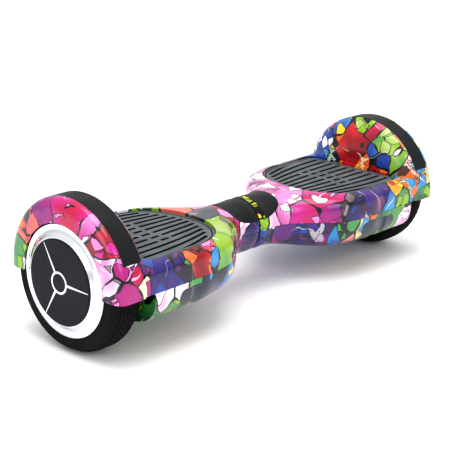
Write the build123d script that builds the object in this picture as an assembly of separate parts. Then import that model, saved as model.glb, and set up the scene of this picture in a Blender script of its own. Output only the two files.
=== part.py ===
"""Two-wheeled self-balancing board with a hub motor in each wheel.

Millimetres. The origin is on the ground below the middle of the board. +X runs along the axle line from
the left wheel to the right wheel, +Y points to the rider's back and +Z points up. Each half is drawn on
the +X side, and the left half is its mirror image.
"""
from build123d import *
from math import cos, hypot, pi, radians, sin
import os

# ---- Wheel ----
TYRE_RADIUS = 84.0
TYRE_WIDTH = 42.0
TREAD_GROOVE_PITCH = 8.0
TREAD_GROOVE_DEPTH = 1.0
RIM_SEAT_RADIUS = 58.0
RIM_EDGE_RADIUS = 64.8
BARREL_WALL = 6.0
BOSS_WALL = 4.0
MAGNET_THICKNESS = 3.8
AIR_GAP = 0.6
STATOR_WIDTH = 20.0
STATOR_SLOTS = 18
AXLE_RADIUS = 8.0
AXLE_SHOULDER_RADIUS = 12.0
AXLE_BORE_RADIUS = 3.5
BEARING_RADIUS = 14.0
BEARING_WIDTH = 9.0
HUB_DISC_RADIUS = 49.6
HUB_RISE = 7.5
HUB_DISC_THICKNESS = 2.6
SPIDER_RING_RADIUS = 13.0
SPIDER_RING_WIDTH = 2.5
SPOKE_COUNT = 3
SPOKE_ROOT_WIDTH = 3.2
SPOKE_TIP_WIDTH = 1.0
SPIDER_THICKNESS = 0.5
RIM_SCREW_RADIUS = 1.5
RIM_SCREW_LENGTH = 12.0
RIM_SCREW_HEAD_GROWTH = 1.2
RIM_SCREW_COUNT = 6

# ---- Casing ----
WALL_X = 236.0
SHOULDER_FROM_WALL = 55.0
WALL = 2.5
WHEEL_GAP = 6.5
FENDER_GAP = 6.0
TRIM_THICKNESS = 1.5
TRIM_WIDTH = 25.0
TRIM_FOOT_RISE = 37.0
FENDER_FOOT_DROP = 3.5
LIP_GAP = 1.0
NECK_RADIUS = 33.0
DECK_RISE = 31.0
BELLY_DROP = 47.0
PARTING_DROP = 2.0
PARTING_GAP = 0.4
SEAM_GAP = 2.0
PANEL_THICKNESS = 1.3
PANEL_REACH = 45.0

# ---- Foot pads ----
PAD_TIP_X = 88.0
PAD_TIP_LENGTH = 70.0
PAD_TIP_POWER = 2.35
PAD_EDGE_MARGIN = 17.0
PAD_CORNER_RADIUS = 15.0
PAD_THICKNESS = 4.0
PAD_SINK = 3.5
PAD_TRAVEL = 1.8
PAD_STOP_GAP = 0.2
PAD_CLEARANCE = 0.8
GROOVE_WIDTH = 4.6
GROOVE_DEPTH = 1.2
GROOVE_PAIRS = 6
GROOVE_TIP_PITCH = 10.4
GROOVE_END_PITCH = 13.4
GROOVE_BOW = 0.9
GROOVE_MARGIN = 7.0
BORDER_GROOVE_INSET = 2.6
BORDER_GROOVE_WIDTH = 1.4
CROSS_RIB_WIDTH = 5.0
CROSS_RIB_REACH = 34.0
CROSS_RIB_FIRST = 1.0
CROSS_RIB_SPACING = 18.0
PLUNGER_RADIUS = 5.0
PLUNGER_SPACING = 80.0
PLUNGER_GUIDE_DROP = 5.0
SENSOR_DROP = 11.0
SENSOR_BOARD_LENGTH = 48.0
SENSOR_BOARD_WIDTH = 112.0
SWITCH_HEIGHT = 1.4
SPACER_RADIUS = 3.0
SPACER_INSET = 4.0

# ---- Front lights ----
LENS_FROM_WALL = 70.0
LENS_LENGTH = 64.0
LENS_HEIGHT = 18.0
LENS_DROP = 18.0
LENS_FLANGE = 2.0
LIGHT_BOARD_INSET = 15.0
LIGHT_BOARD_HEIGHT = 12.0
LIGHT_PEG_RADIUS = 2.5
DIODE_PITCH = 9.0
DIODE_SIZE = 5.0
DIODE_HEIGHT = 1.2

# ---- Frame and centre pivot ----
SHAFT_RADIUS = 16.0
SHAFT_BORE_RADIUS = 10.0
BOSS_RADIUS = 24.0
BOSS_END_X = 80.0
WEB_THICKNESS = 14.0
WEB_HALF_WIDTH = 20.0
BUSH_WALL = 3.0
PIVOT_FLANGE_RADIUS = 28.5
PIVOT_FLANGE_THICKNESS = 8.0
PIVOT_FACE_X = 2.0
STOP_PIN_RADIUS = 3.0
STOP_PIN_OFFSET = 24.0
STOP_ANGLE = 12.0
PLATE_THICKNESS = 3.0
PLATE_DROP = 36.0
PLATE_HALF_WIDTH = 72.0
PLATE_END_HALF_WIDTH = 60.0
CLAMP_LENGTH = 24.0
CLAMP_HALF_WIDTH = 24.0
CLAMP_HEIGHT = 13.0
CLAMP_SCREW_RADIUS = 3.0
CLAMP_SCREW_DEPTH = 15.0
CLAMP_HEAD_HEIGHT = 5.0
CIRCLIP_SHIFT = 2.0
CIRCLIP_WIDTH = 2.0
CIRCLIP_DEPTH = 1.0
SCREW_RADIUS = 2.0
SCREW_HEAD_RADIUS = 3.8
SCREW_HEAD_HEIGHT = 2.4
SCREW_LENGTH = 16.0
FRONT_SCREW_FROM_WALL = 124.0
WHEEL_SCREW_FROM_WALL = 22.0
EDGE_BOSS_HEIGHT = 6.0

# ---- Electrics ----
BATTERY_LENGTH = 66.0
BATTERY_WIDTH = 132.0
BATTERY_HEIGHT = 37.8
BAY_FROM_WALL = 50.0
PACK_GAP = 0.2
STRAP_THICKNESS = 1.5
STRAP_WIDTH = 16.0
BOARD_THICKNESS = 1.6
MAIN_BOARD_HALF_WIDTH = 50.0
MAIN_BOARD_RISE = 6.0
MAIN_SPACER_INSET = 5.0
CAPACITOR_RADIUS = 5.0
CAPACITOR_HEIGHT = 18.0
CAPACITOR_PITCH = 12.0
HEAT_SINK_HEIGHT = 9.0
PLUG_HALF_WIDTH = 8.0
PLUG_HEIGHT = 6.0
CABLE_RADIUS = 2.5
LINK_CABLE_RADIUS = 4.0
PORT_FROM_WALL = 86.0
PORT_RADIUS = 6.5
PORT_WALL = 3.0
PORT_DEPTH = 6.0
PORT_BACK = 6.0
PORT_FLANGE = 2.0
CONTACT_RADIUS = 1.0
CONTACT_CIRCLE = 3.4
BUTTON_FROM_WALL = 41.0
BUTTON_RADIUS = 7.5
BUTTON_TRAVEL = 1.5
BUTTON_RISE = 0.4
BUTTON_BORE_DEPTH = 10.0
BUTTON_RIM = 2.5
BEZEL_WALL = 2.3
BEZEL_DEPTH = 12.0
REAR_FITTING_DROP = 14.0

# ---- Fits ----
RUNNING = 0.05
SEATING = 0.1
PIN_CLEARANCE = 0.3

# ---- Places that follow from the sizes above ----
AXLE_Z = TYRE_RADIUS
TYRE_IN_X = WALL_X + WHEEL_GAP
TYRE_OUT_X = TYRE_IN_X + TYRE_WIDTH
TYRE_MID_X = (TYRE_IN_X + TYRE_OUT_X) / 2
HUB_FACE_X = TYRE_OUT_X + HUB_RISE
FENDER_INNER_RADIUS = TYRE_RADIUS + FENDER_GAP
TRIM_SEAT_RADIUS = FENDER_INNER_RADIUS + WALL
FENDER_RADIUS = TRIM_SEAT_RADIUS + TRIM_THICKNESS
TRIM_IN_X = TYRE_MID_X - TRIM_WIDTH / 2
TRIM_OUT_X = TYRE_MID_X + TRIM_WIDTH / 2
SHOULDER_END_X = WALL_X - SHOULDER_FROM_WALL
LIP_RADIUS = RIM_EDGE_RADIUS + LIP_GAP
LIP_FACE_X = TYRE_OUT_X + LIP_GAP
BODY_HALF_WIDTH = FENDER_RADIUS - 1.0
DECK_Z = AXLE_Z + DECK_RISE
PARTING_Z = AXLE_Z - PARTING_DROP
PAD_END_X = WALL_X - 6.0
PAD_HALF_WIDTH = BODY_HALF_WIDTH - PAD_EDGE_MARGIN
PAD_TOP_Z = DECK_Z - PAD_SINK
PAD_BOTTOM_Z = PAD_TOP_Z - PAD_THICKNESS
TUB_FLOOR_Z = PAD_BOTTOM_Z - PAD_TRAVEL - PAD_STOP_GAP
TUB_BOTTOM_Z = TUB_FLOOR_Z - WALL
LENS_X = WALL_X - LENS_FROM_WALL
LENS_Z = AXLE_Z - LENS_DROP
LIGHT_BOARD_Y = BODY_HALF_WIDTH - LIGHT_BOARD_INSET
LIGHT_BOARD_HALF_LENGTH = LENS_LENGTH / 2 + 10.0
PORT_X = WALL_X - PORT_FROM_WALL
BUTTON_X = WALL_X - BUTTON_FROM_WALL
PLATE_BOTTOM_Z = AXLE_Z - PLATE_DROP
PLATE_TOP_Z = PLATE_BOTTOM_Z + PLATE_THICKNESS
CLAMP_OUT_X = WALL_X - WALL - 3.5
CLAMP_IN_X = CLAMP_OUT_X - CLAMP_LENGTH
BARREL_INNER_RADIUS = RIM_SEAT_RADIUS - BARREL_WALL
MAGNET_INNER_RADIUS = BARREL_INNER_RADIUS - MAGNET_THICKNESS
STATOR_RADIUS = MAGNET_INNER_RADIUS - AIR_GAP
STATOR_IN_X = TYRE_MID_X - STATOR_WIDTH / 2
STATOR_OUT_X = TYRE_MID_X + STATOR_WIDTH / 2
SENSOR_Z = TUB_BOTTOM_Z - SENSOR_DROP
PLUNGER_X = (PAD_TIP_X + PAD_END_X) / 2
BAY_OUT_X = WALL_X - BAY_FROM_WALL
BAY_IN_X = BAY_OUT_X - BATTERY_LENGTH
REAR_FITTING_Z = AXLE_Z - REAR_FITTING_DROP
REAR_FACE_Y = BODY_HALF_WIDTH + 0.2
FRONT_SCREW_X = WALL_X - FRONT_SCREW_FROM_WALL
WHEEL_SCREW_X = WALL_X - WHEEL_SCREW_FROM_WALL
POST_RADIUS = SCREW_RADIUS + 3.0
AXLE_HOLE_RADIUS = AXLE_RADIUS + 2.0
CIRCLIP_X = BOSS_END_X + CIRCLIP_SHIFT
FACE_DISC_X = HUB_FACE_X - SPIDER_THICKNESS
RIM_COVER_X = TYRE_IN_X + 3.2
FRAME_SEAT_Z = AXLE_Z - 42.0
EDGE_SEAT_Z = AXLE_Z - 30.0

# Screws of the bottom cover as (x, distance from the middle line, height of the head's seat).
FRAME_SCREWS = ((FRONT_SCREW_X - 8.0, 28.0, FRAME_SEAT_Z), (WHEEL_SCREW_X + 2.0, 40.0, FRAME_SEAT_Z))
EDGE_SCREWS = ((FRONT_SCREW_X, 60.0, EDGE_SEAT_Z), (WHEEL_SCREW_X, BODY_HALF_WIDTH - 14.0, EDGE_SEAT_Z))

# Stations of one casing half, evenly spaced from the seam to the shoulder's end: share of the growth from neck
# to full width, share of the growth from neck to full depth, and the squareness of the upper and of the lower
# part of the section (2 is an ellipse).
STATIONS = (
    (0.00, 0.00, 2.0, 2.0),
    (0.02, 0.07, 2.0, 2.0),
    (0.07, 0.17, 2.1, 2.1),
    (0.28, 0.42, 2.6, 2.3),
    (0.58, 0.74, 3.6, 2.5),
    (0.82, 0.92, 5.0, 2.8),
    (0.92, 0.97, 6.2, 3.0),
    (0.97, 0.99, 6.8, 3.2),
    (0.99, 1.00, 7.0, 3.35),
    (1.00, 1.00, 7.0, 3.4),
)
QUARTER_STEPS = 14
FINE_STEPS = 1200
BIG = 400.0


def block(x_from, x_to, y_from, y_to, z_from, z_to):
    """A box between two corners."""
    size = Box(x_to - x_from, y_to - y_from, z_to - z_from)
    return Pos((x_from + x_to) / 2, (y_from + y_to) / 2, (z_from + z_to) / 2) * size


def rod_x(radius, x_from, x_to, y=0.0, z=AXLE_Z):
    """A round bar along X."""
    return Pos((x_from + x_to) / 2, y, z) * Rot(0, 90, 0) * Cylinder(radius, x_to - x_from)


def rod_y(radius, y_from, y_to, x, z):
    """A round bar along Y."""
    return Pos(x, (y_from + y_to) / 2, z) * Rot(90, 0, 0) * Cylinder(radius, y_to - y_from)


def rod_z(radius, z_from, z_to, x, y):
    """A round bar along Z."""
    return Pos(x, y, (z_from + z_to) / 2) * Cylinder(radius, z_to - z_from)


def turned(*outline):
    """A solid turned about the axle line. Each point is (x, radius)."""
    points = [(x, 0, AXLE_Z + radius) for x, radius in outline]
    face = make_face(Polyline(*points, close=True))
    return revolve(face, Axis((0, 0, AXLE_Z), (1, 0, 0)), 360)


def turned_smooth(curve, *rest):
    """A solid turned about the axle line, with one smooth run followed by straight edges."""
    lift = [(x, 0, AXLE_Z + radius) for x, radius in curve]
    closing = [lift[-1]] + [(x, 0, AXLE_Z + radius) for x, radius in rest] + [lift[0]]
    face = make_face([Spline(*lift), Polyline(*closing)])
    return revolve(face, Axis((0, 0, AXLE_Z), (1, 0, 0)), 360)


def ring_of(piece, count):
    """Copies of a piece, evenly spaced about the axle line."""
    spin = [Pos(0, 0, AXLE_Z) * Rot(360 / count * turn, 0, 0) * Pos(0, 0, -AXLE_Z) for turn in range(count)]
    return [place * piece for place in spin]


def quarter_curve(half_width, height, power):
    """Points of a superellipse quarter, from the side round to the middle, evenly spaced along it."""
    fine = []
    for step in range(FINE_STEPS + 1):
        turn = pi / 2 * step / FINE_STEPS
        across = half_width * round(cos(turn), 12) ** (2 / power)
        fine.append((across, height * round(sin(turn), 12) ** (2 / power)))
    steps = [hypot(far[0] - near[0], far[1] - near[1]) for near, far in zip(fine, fine[1:])]
    spacing = sum(steps) / QUARTER_STEPS
    points = [fine[0]]
    travelled = 0.0
    for near, far, length in zip(fine, fine[1:], steps):
        while len(points) < QUARTER_STEPS and travelled + length >= spacing * len(points):
            share = (spacing * len(points) - travelled) / length
            points.append((near[0] + share * (far[0] - near[0]), near[1] + share * (far[1] - near[1])))
        travelled += length
    return points + [fine[-1]]


def section(place, inset):
    """The casing's cross-section at one station in four smooth quarters, drawn in by an inset."""
    spread, deepen, upper, lower = STATIONS[place]
    start_x = SEAM_GAP / 2
    x = start_x + place * (SHOULDER_END_X - start_x) / (len(STATIONS) - 1)
    half_width = NECK_RADIUS + spread * (BODY_HALF_WIDTH - NECK_RADIUS) - inset
    rise = NECK_RADIUS + deepen * (DECK_RISE - NECK_RADIUS) - inset
    drop = NECK_RADIUS + deepen * (BELLY_DROP - NECK_RADIUS) - inset
    above = quarter_curve(half_width, rise, upper)
    below = quarter_curve(half_width, drop, lower)
    quarters = []
    for way_y, way_z, curve in ((1, 1, above), (-1, 1, above), (-1, -1, below), (1, -1, below)):
        points = [(x, way_y * y, AXLE_Z + way_z * z) for y, z in curve]
        ends = [(0, 0, way_z), (0, -way_y, 0)]
        if way_y * way_z < 0:
            points.reverse()
            ends = [(0, way_y, 0), (0, 0, -way_z)]
        spacing = [step / QUARTER_STEPS for step in range(QUARTER_STEPS + 1)]
        quarters.append(Edge.make_spline(points, tangents=ends, parameters=spacing))
    return Face(Wire(quarters))


def casing_form(inset):
    """The solid form of one casing half, drawn in by an inset: a shaped shoulder and a straight deck."""
    sections = [section(place, inset) for place in range(len(STATIONS))]
    shoulder = loft(sections)
    end_face = sections[-1]
    length = TRIM_IN_X - SHOULDER_END_X
    return shoulder + extrude(end_face, amount=length, dir=(1, 0, 0))


def upper_half(shape, foot_z):
    """What of a shape lies above a height."""
    return shape & block(-BIG, BIG, -BIG, BIG, foot_z, BIG)


def lower_half(shape, head_z):
    """What of a shape lies below a height."""
    return shape & block(-BIG, BIG, -BIG, BIG, -BIG, head_z)


def pad_outline(grow=0.0):
    """The foot pad's outline, grown all round: a blunt tip towards the neck and a straight wheel end."""
    half_width = PAD_HALF_WIDTH + grow
    side = []
    for step in range(9):
        turn = pi / 2 * step / 8
        share = 2 / PAD_TIP_POWER
        x = PAD_TIP_X - grow + (PAD_TIP_LENGTH + grow) * (1 - round(cos(turn), 12) ** share)
        side.append((x, half_width * sin(turn) ** share, 0))
    tip = [(x, -y, 0) for x, y, _ in reversed(side[1:])] + side
    end_x = PAD_END_X + grow
    corner = PAD_CORNER_RADIUS + grow
    bend = corner * (1 - cos(pi / 4))
    edges = [
        Spline(*tip, tangents=((-1, 0, 0), (1, 0, 0))),
        Line(tip[-1], (end_x - corner, half_width, 0)),
        ThreePointArc((end_x - corner, half_width, 0), (end_x - bend, half_width - bend, 0),
                      (end_x, half_width - corner, 0)),
        Line((end_x, half_width - corner, 0), (end_x, corner - half_width, 0)),
        ThreePointArc((end_x, corner - half_width, 0), (end_x - bend, bend - half_width, 0),
                      (end_x - corner, -half_width, 0)),
        Line((end_x - corner, -half_width, 0), tip[0]),
    ]
    return make_face(edges)


def stadium(length, height):
    """The lens outline as a bar along Y at the casing's front."""
    outline = SlotOverall(length, height)
    bar = extrude(outline, amount=BODY_HALF_WIDTH)
    return Pos(LENS_X, 0, LENS_Z) * Rot(90, 0, 0) * bar


def panel_region(shrink):
    """The side view of the black neck panel, as a bar that runs right through along Y."""
    low_z = AXLE_Z + 12.0
    reach = PANEL_REACH - shrink
    start = SEAM_GAP / 2
    points = [(start, 0, low_z + shrink), (reach * 0.45, 0, low_z + 1.0 + shrink),
              (reach * 0.8, 0, low_z + 7.0 + shrink), (reach, 0, AXLE_Z + NECK_RADIUS + 1.0)]
    edges = [Spline(*points), Polyline(points[-1], (start, 0, points[-1][2]), points[0])]
    return extrude(make_face(edges), amount=BIG, both=True)


# ---- Shared forms ----
FORM = casing_form(0)
HOLLOW = casing_form(WALL) & block(-BIG, WALL_X - WALL, -BIG, BIG, -BIG, BIG)
PANEL_BACK = casing_form(PANEL_THICKNESS)
PANEL_SEAT = casing_form(PANEL_THICKNESS + SEATING)
FLANGE_FRONT = casing_form(WALL + SEATING)
FLANGE_BACK = casing_form(WALL + SEATING + PANEL_THICKNESS)


def fender_form():
    """The fender's outer form, a full turn: domed towards the body and lipped over the tyre's outer side."""
    foot = FENDER_RADIUS - TRIM_THICKNESS
    dome = [(WALL_X - 3.0, 0.33 * foot), (WALL_X - 1.8, 0.68 * foot), (WALL_X + 5.5, 0.9 * foot),
            (TRIM_IN_X, FENDER_RADIUS - 0.4)]
    lip_out = LIP_FACE_X + WALL
    lip = [(TRIM_OUT_X, FENDER_RADIUS), (lip_out - 5.0, FENDER_RADIUS - 3.0),
           (lip_out - 0.9, FENDER_RADIUS - 10.5), (lip_out, LIP_RADIUS + 10.0), (lip_out, LIP_RADIUS)]
    dome_3d = [(x, 0, AXLE_Z + radius) for x, radius in dome]
    lip_3d = [(x, 0, AXLE_Z + radius) for x, radius in lip]
    base = [lip_3d[-1], (lip_out, 0, AXLE_Z), (WALL_X - 3.0, 0, AXLE_Z), dome_3d[0]]
    edges = [Spline(*dome_3d), Line(dome_3d[-1], lip_3d[0]), Spline(*lip_3d), Polyline(*base)]
    return revolve(make_face(edges), Axis((0, 0, AXLE_Z), (1, 0, 0)), 360)


def wheel_well():
    """The space that the wheel turns in, open at the lip."""
    inner = FENDER_INNER_RADIUS
    curve = [(WALL_X, 0.68 * inner), (WALL_X + 2.5, 0.82 * inner), (WALL_X + 8.0, 0.93 * inner),
             (TRIM_IN_X + 2.0, inner)]
    rest = [(TRIM_OUT_X - 1.0, inner), (LIP_FACE_X - 4.0, inner - 2.5), (LIP_FACE_X - 1.2, inner - 8.0),
            (LIP_FACE_X, LIP_RADIUS + 9.0), (LIP_FACE_X, LIP_RADIUS), (HUB_FACE_X + 10.0, LIP_RADIUS),
            (HUB_FACE_X + 10.0, 0), (WALL_X, 0)]
    return turned_smooth(curve, *rest)


def trim_band(seat, top, margin):
    """A band round the fender's crown, above the trim's feet."""
    edge = min(0.5, (top - seat) / 2)
    low, high = TRIM_IN_X - margin, TRIM_OUT_X + margin
    band = turned((low, seat), (low, top - edge), (low + edge, top), (high - edge, top), (high, top - edge),
                  (high, seat))
    return upper_half(band, AXLE_Z + TRIM_FOOT_RISE - margin)


def fender_trim():
    """The dark band that is set into the fender's crown."""
    return trim_band(TRIM_SEAT_RADIUS + RUNNING, FENDER_RADIUS, 0)


def neck_panel():
    """The thin dark panel let into the top of the neck."""
    return (upper_half(FORM, PARTING_Z) - PANEL_BACK) & panel_region(SEATING)


def screw_places(rows):
    """The places of the screws in rows that repeat at the front and the rear."""
    return [(x, side * y, seat) for x, y, seat in rows for side in (1, -1)]


def top_cover():
    """Upper casing: deck, pad tub, fender, and the posts and guides under the deck."""
    deck = upper_half(FORM, PARTING_Z + PARTING_GAP / 2)
    fender = upper_half(fender_form(), AXLE_Z - FENDER_FOOT_DROP)
    fender -= block(-BIG, WALL_X, -BIG, BIG, -BIG, PARTING_Z + PARTING_GAP / 2)
    shell = deck + fender - wheel_well() - HOLLOW
    tub = Pos(0, 0, TUB_BOTTOM_Z) * extrude(pad_outline(PAD_CLEARANCE + WALL), DECK_Z - TUB_BOTTOM_Z)
    inside = [tub]
    for side in (1, -1):
        y = side * PLUNGER_SPACING / 2
        inside.append(rod_z(PLUNGER_RADIUS + WALL, TUB_BOTTOM_Z - PLUNGER_GUIDE_DROP, TUB_FLOOR_Z, PLUNGER_X, y))
        spacer_y = side * (SENSOR_BOARD_WIDTH / 2 - SPACER_INSET)
        for way in (-1, 1):
            spacer_x = PLUNGER_X + way * (SENSOR_BOARD_LENGTH / 2 - SPACER_INSET)
            inside.append(rod_z(SPACER_RADIUS, SENSOR_Z + BOARD_THICKNESS, TUB_FLOOR_Z, spacer_x, spacer_y))
    for x, y, seat in screw_places(EDGE_SCREWS):
        inside.append(rod_z(POST_RADIUS, seat + EDGE_BOSS_HEIGHT + PARTING_GAP, DECK_Z, x, y))
    cover = shell + (Part() + inside & FORM)
    cover -= Pos(0, 0, TUB_FLOOR_Z) * extrude(pad_outline(PAD_CLEARANCE), BIG)
    for side in (1, -1):
        cover -= rod_z(PLUNGER_RADIUS + RUNNING, 0, BIG, PLUNGER_X, side * PLUNGER_SPACING / 2)
    for x, y, seat in screw_places(EDGE_SCREWS):
        cover -= rod_z(SCREW_RADIUS + RUNNING, seat, seat + SCREW_LENGTH + 2.0, x, y)
    cover -= rod_x(AXLE_HOLE_RADIUS, WALL_X - 2 * WALL, WALL_X + 1.0)
    cover -= trim_band(TRIM_SEAT_RADIUS, FENDER_RADIUS + 1.0, SEATING)
    return cover - (panel_region(0) - PANEL_SEAT)


def bottom_cover():
    """Lower casing: a tray with screw bosses and the lens window."""
    tray = lower_half(FORM, PARTING_Z - PARTING_GAP / 2) & block(-BIG, WALL_X, -BIG, BIG, -BIG, BIG)
    bosses = [rod_z(POST_RADIUS + 1.5, 0, PLATE_BOTTOM_Z, x, y) for x, y, seat in screw_places(FRAME_SCREWS)]
    bosses += [rod_z(POST_RADIUS + 0.5, 0, seat + EDGE_BOSS_HEIGHT, x, y) for x, y, seat in screw_places(EDGE_SCREWS)]
    for shift in (-1, 1):
        x = LENS_X + shift * (LIGHT_BOARD_HALF_LENGTH - LIGHT_PEG_RADIUS - 1.0)
        bosses.append(rod_y(LIGHT_PEG_RADIUS, -BODY_HALF_WIDTH, -LIGHT_BOARD_Y, x, LENS_Z))
    tray = tray - HOLLOW + (Part() + bosses & tray)
    for x, y, seat in screw_places(FRAME_SCREWS + EDGE_SCREWS):
        tray -= rod_z(SCREW_RADIUS + SEATING, 0, BIG, x, y)
        tray -= rod_z(SCREW_HEAD_RADIUS + PIN_CLEARANCE, 0, seat, x, y)
    tray -= stadium(LENS_LENGTH, LENS_HEIGHT)
    return tray - rod_x(AXLE_HOLE_RADIUS, WALL_X - 2 * WALL, WALL_X + 1.0)


def light_lens():
    """A clear bar, flush with the casing, with a flange behind the window."""
    window = stadium(LENS_LENGTH - 2 * SEATING, LENS_HEIGHT - 2 * SEATING)
    flange = stadium(LENS_LENGTH + 2 * LENS_FLANGE, LENS_HEIGHT + 2 * LENS_FLANGE)
    return (FORM - FLANGE_BACK & window) + (FLANGE_FRONT - FLANGE_BACK & flange)


def light_board():
    """The lamp board behind the lens with its row of diodes."""
    back = -LIGHT_BOARD_Y
    board = block(LENS_X - LIGHT_BOARD_HALF_LENGTH, LENS_X + LIGHT_BOARD_HALF_LENGTH, back, back + BOARD_THICKNESS,
                  LENS_Z - LIGHT_BOARD_HEIGHT / 2, LENS_Z + LIGHT_BOARD_HEIGHT / 2)
    half = DIODE_SIZE / 2
    places = [LENS_X + shift * DIODE_PITCH for shift in range(-3, 4)]
    diodes = [block(x - half, x + half, back - DIODE_HEIGHT, back, LENS_Z - half, LENS_Z + half) for x in places]
    return (board & FLANGE_FRONT) + diodes


def screw(x, y, seat):
    """A machine screw that points up, with its head's seat at a height."""
    head = rod_z(SCREW_HEAD_RADIUS, seat - SCREW_HEAD_HEIGHT, seat, x, y)
    drive = rod_z(SCREW_RADIUS - 0.4, seat - SCREW_HEAD_HEIGHT, seat - SCREW_HEAD_HEIGHT / 2, x, y)
    return head + rod_z(SCREW_RADIUS, seat, seat + SCREW_LENGTH, x, y) - drive


def cover_screws():
    """The eight screws that hold the bottom cover."""
    return [screw(x, y, seat) for x, y, seat in screw_places(FRAME_SCREWS + EDGE_SCREWS)]


def chassis(with_bushes):
    """The cast frame of one half: floor plate, axle pedestal, and pivot boss with its flange."""
    wide = PLATE_HALF_WIDTH
    narrow_x = FRONT_SCREW_X + POST_RADIUS + 4.0
    web_x = BOSS_END_X - WEB_THICKNESS
    end = PLATE_END_HALF_WIDTH
    outline = [(web_x, 24.0), (narrow_x - 16.0, 46.0), (narrow_x, 50.0), (narrow_x + 6.0, wide),
               (WHEEL_SCREW_X - 16.0, wide), (WHEEL_SCREW_X - 8.0, end), (CLAMP_OUT_X, end)]
    loop = outline + [(x, -y) for x, y in reversed(outline)]
    plate = Pos(0, 0, PLATE_BOTTOM_Z) * extrude(make_face(Polyline(*loop, close=True)), PLATE_THICKNESS)
    pedestal = block(CLAMP_IN_X, CLAMP_OUT_X, -CLAMP_HALF_WIDTH, CLAMP_HALF_WIDTH, PLATE_BOTTOM_Z, AXLE_Z)
    flange = rod_x(PIVOT_FLANGE_RADIUS, PIVOT_FACE_X, PIVOT_FACE_X + PIVOT_FLANGE_THICKNESS)
    boss = rod_x(BOSS_RADIUS, PIVOT_FACE_X, BOSS_END_X)
    web = block(web_x, BOSS_END_X, -WEB_HALF_WIDTH, WEB_HALF_WIDTH, PLATE_BOTTOM_Z, AXLE_Z)
    frame = (plate + web & FLANGE_BACK) + pedestal + flange + boss
    bore = SHAFT_RADIUS + (BUSH_WALL if with_bushes else RUNNING)
    frame -= rod_x(bore, -1.0, BOSS_END_X + 1.0)
    frame -= rod_x(AXLE_RADIUS + RUNNING, CLAMP_IN_X - 1.0, CLAMP_OUT_X + 1.0)
    for x, y in clamp_screw_places():
        frame -= rod_z(CLAMP_SCREW_RADIUS + RUNNING, AXLE_Z - CLAMP_SCREW_DEPTH - 1.0, BIG, x, y)
    for x, y, seat in screw_places(FRAME_SCREWS):
        frame -= rod_z(SCREW_RADIUS + RUNNING, 0, BIG, x, y)
    pin_hole = STOP_PIN_RADIUS + RUNNING
    if not with_bushes:
        return frame - rod_x(pin_hole, 0, 9.0, z=AXLE_Z + STOP_PIN_OFFSET)
    return frame - stop_slot()


def stop_slot():
    """The arc that the stop pin runs in, as wide as the pivot's swing each way."""
    reach = STOP_PIN_RADIUS + PIN_CLEARANCE
    ring = rod_x(STOP_PIN_OFFSET + reach, 0, 9.5) - rod_x(STOP_PIN_OFFSET - reach, 0, 9.5)
    pin_angle = 180 / pi * STOP_PIN_RADIUS / STOP_PIN_OFFSET
    sweep = radians(STOP_ANGLE + pin_angle + 0.8)
    far = 2 * STOP_PIN_OFFSET
    wedge = [(0, 0, AXLE_Z), (0, far * sin(sweep), AXLE_Z + far * cos(sweep)),
             (0, -far * sin(sweep), AXLE_Z + far * cos(sweep))]
    return ring & extrude(make_face(Polyline(*wedge, close=True)), amount=10.0, both=True)


def clamp_screw_places():
    """The four screws of the axle clamp as (x, y)."""
    mid = (CLAMP_IN_X + CLAMP_OUT_X) / 2
    return [(mid + shift * CLAMP_LENGTH / 4, side * CLAMP_HALF_WIDTH * 0.66)
            for shift in (1, -1) for side in (1, -1)]


def axle_clamp():
    """The cap that holds the axle down on the pedestal."""
    cap = block(CLAMP_IN_X, CLAMP_OUT_X, -CLAMP_HALF_WIDTH, CLAMP_HALF_WIDTH, AXLE_Z + 0.2, AXLE_Z + CLAMP_HEIGHT)
    cap -= rod_x(AXLE_RADIUS + RUNNING, CLAMP_IN_X - 1.0, CLAMP_OUT_X + 1.0)
    for x, y in clamp_screw_places():
        cap -= rod_z(CLAMP_SCREW_RADIUS + SEATING, 0, BIG, x, y)
    return cap


def clamp_screws():
    """The clamp's socket-head screws."""
    pieces = []
    seat = AXLE_Z + CLAMP_HEIGHT
    top = seat + CLAMP_HEAD_HEIGHT
    for x, y in clamp_screw_places():
        head = rod_z(CLAMP_SCREW_RADIUS + 2.0, seat, top, x, y)
        socket = rod_z(CLAMP_SCREW_RADIUS - 0.6, top - CLAMP_HEAD_HEIGHT / 2, top, x, y)
        pieces.append(head + rod_z(CLAMP_SCREW_RADIUS, AXLE_Z - CLAMP_SCREW_DEPTH, seat, x, y) - socket)
    return pieces


def bearing_spans():
    """Where the wheel's two bearings sit along the axle."""
    return ((WALL_X + 5.0, WALL_X + 5.0 + BEARING_WIDTH), (STATOR_OUT_X + 1.0, STATOR_OUT_X + 1.0 + BEARING_WIDTH))


def axle():
    """The fixed axle with its stator seat, hollow at the inner end for the motor lead."""
    end_x = bearing_spans()[1][1]
    bar = turned((CLAMP_IN_X, 0), (CLAMP_IN_X, AXLE_RADIUS - 0.8), (CLAMP_IN_X + 0.8, AXLE_RADIUS),
                 (STATOR_IN_X, AXLE_RADIUS), (STATOR_IN_X, AXLE_SHOULDER_RADIUS),
                 (STATOR_OUT_X, AXLE_SHOULDER_RADIUS), (STATOR_OUT_X, AXLE_RADIUS), (end_x, AXLE_RADIUS),
                 (end_x, 0))
    return bar - rod_x(AXLE_BORE_RADIUS, CLAMP_IN_X - 1.0, STATOR_IN_X - 6.0)


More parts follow.
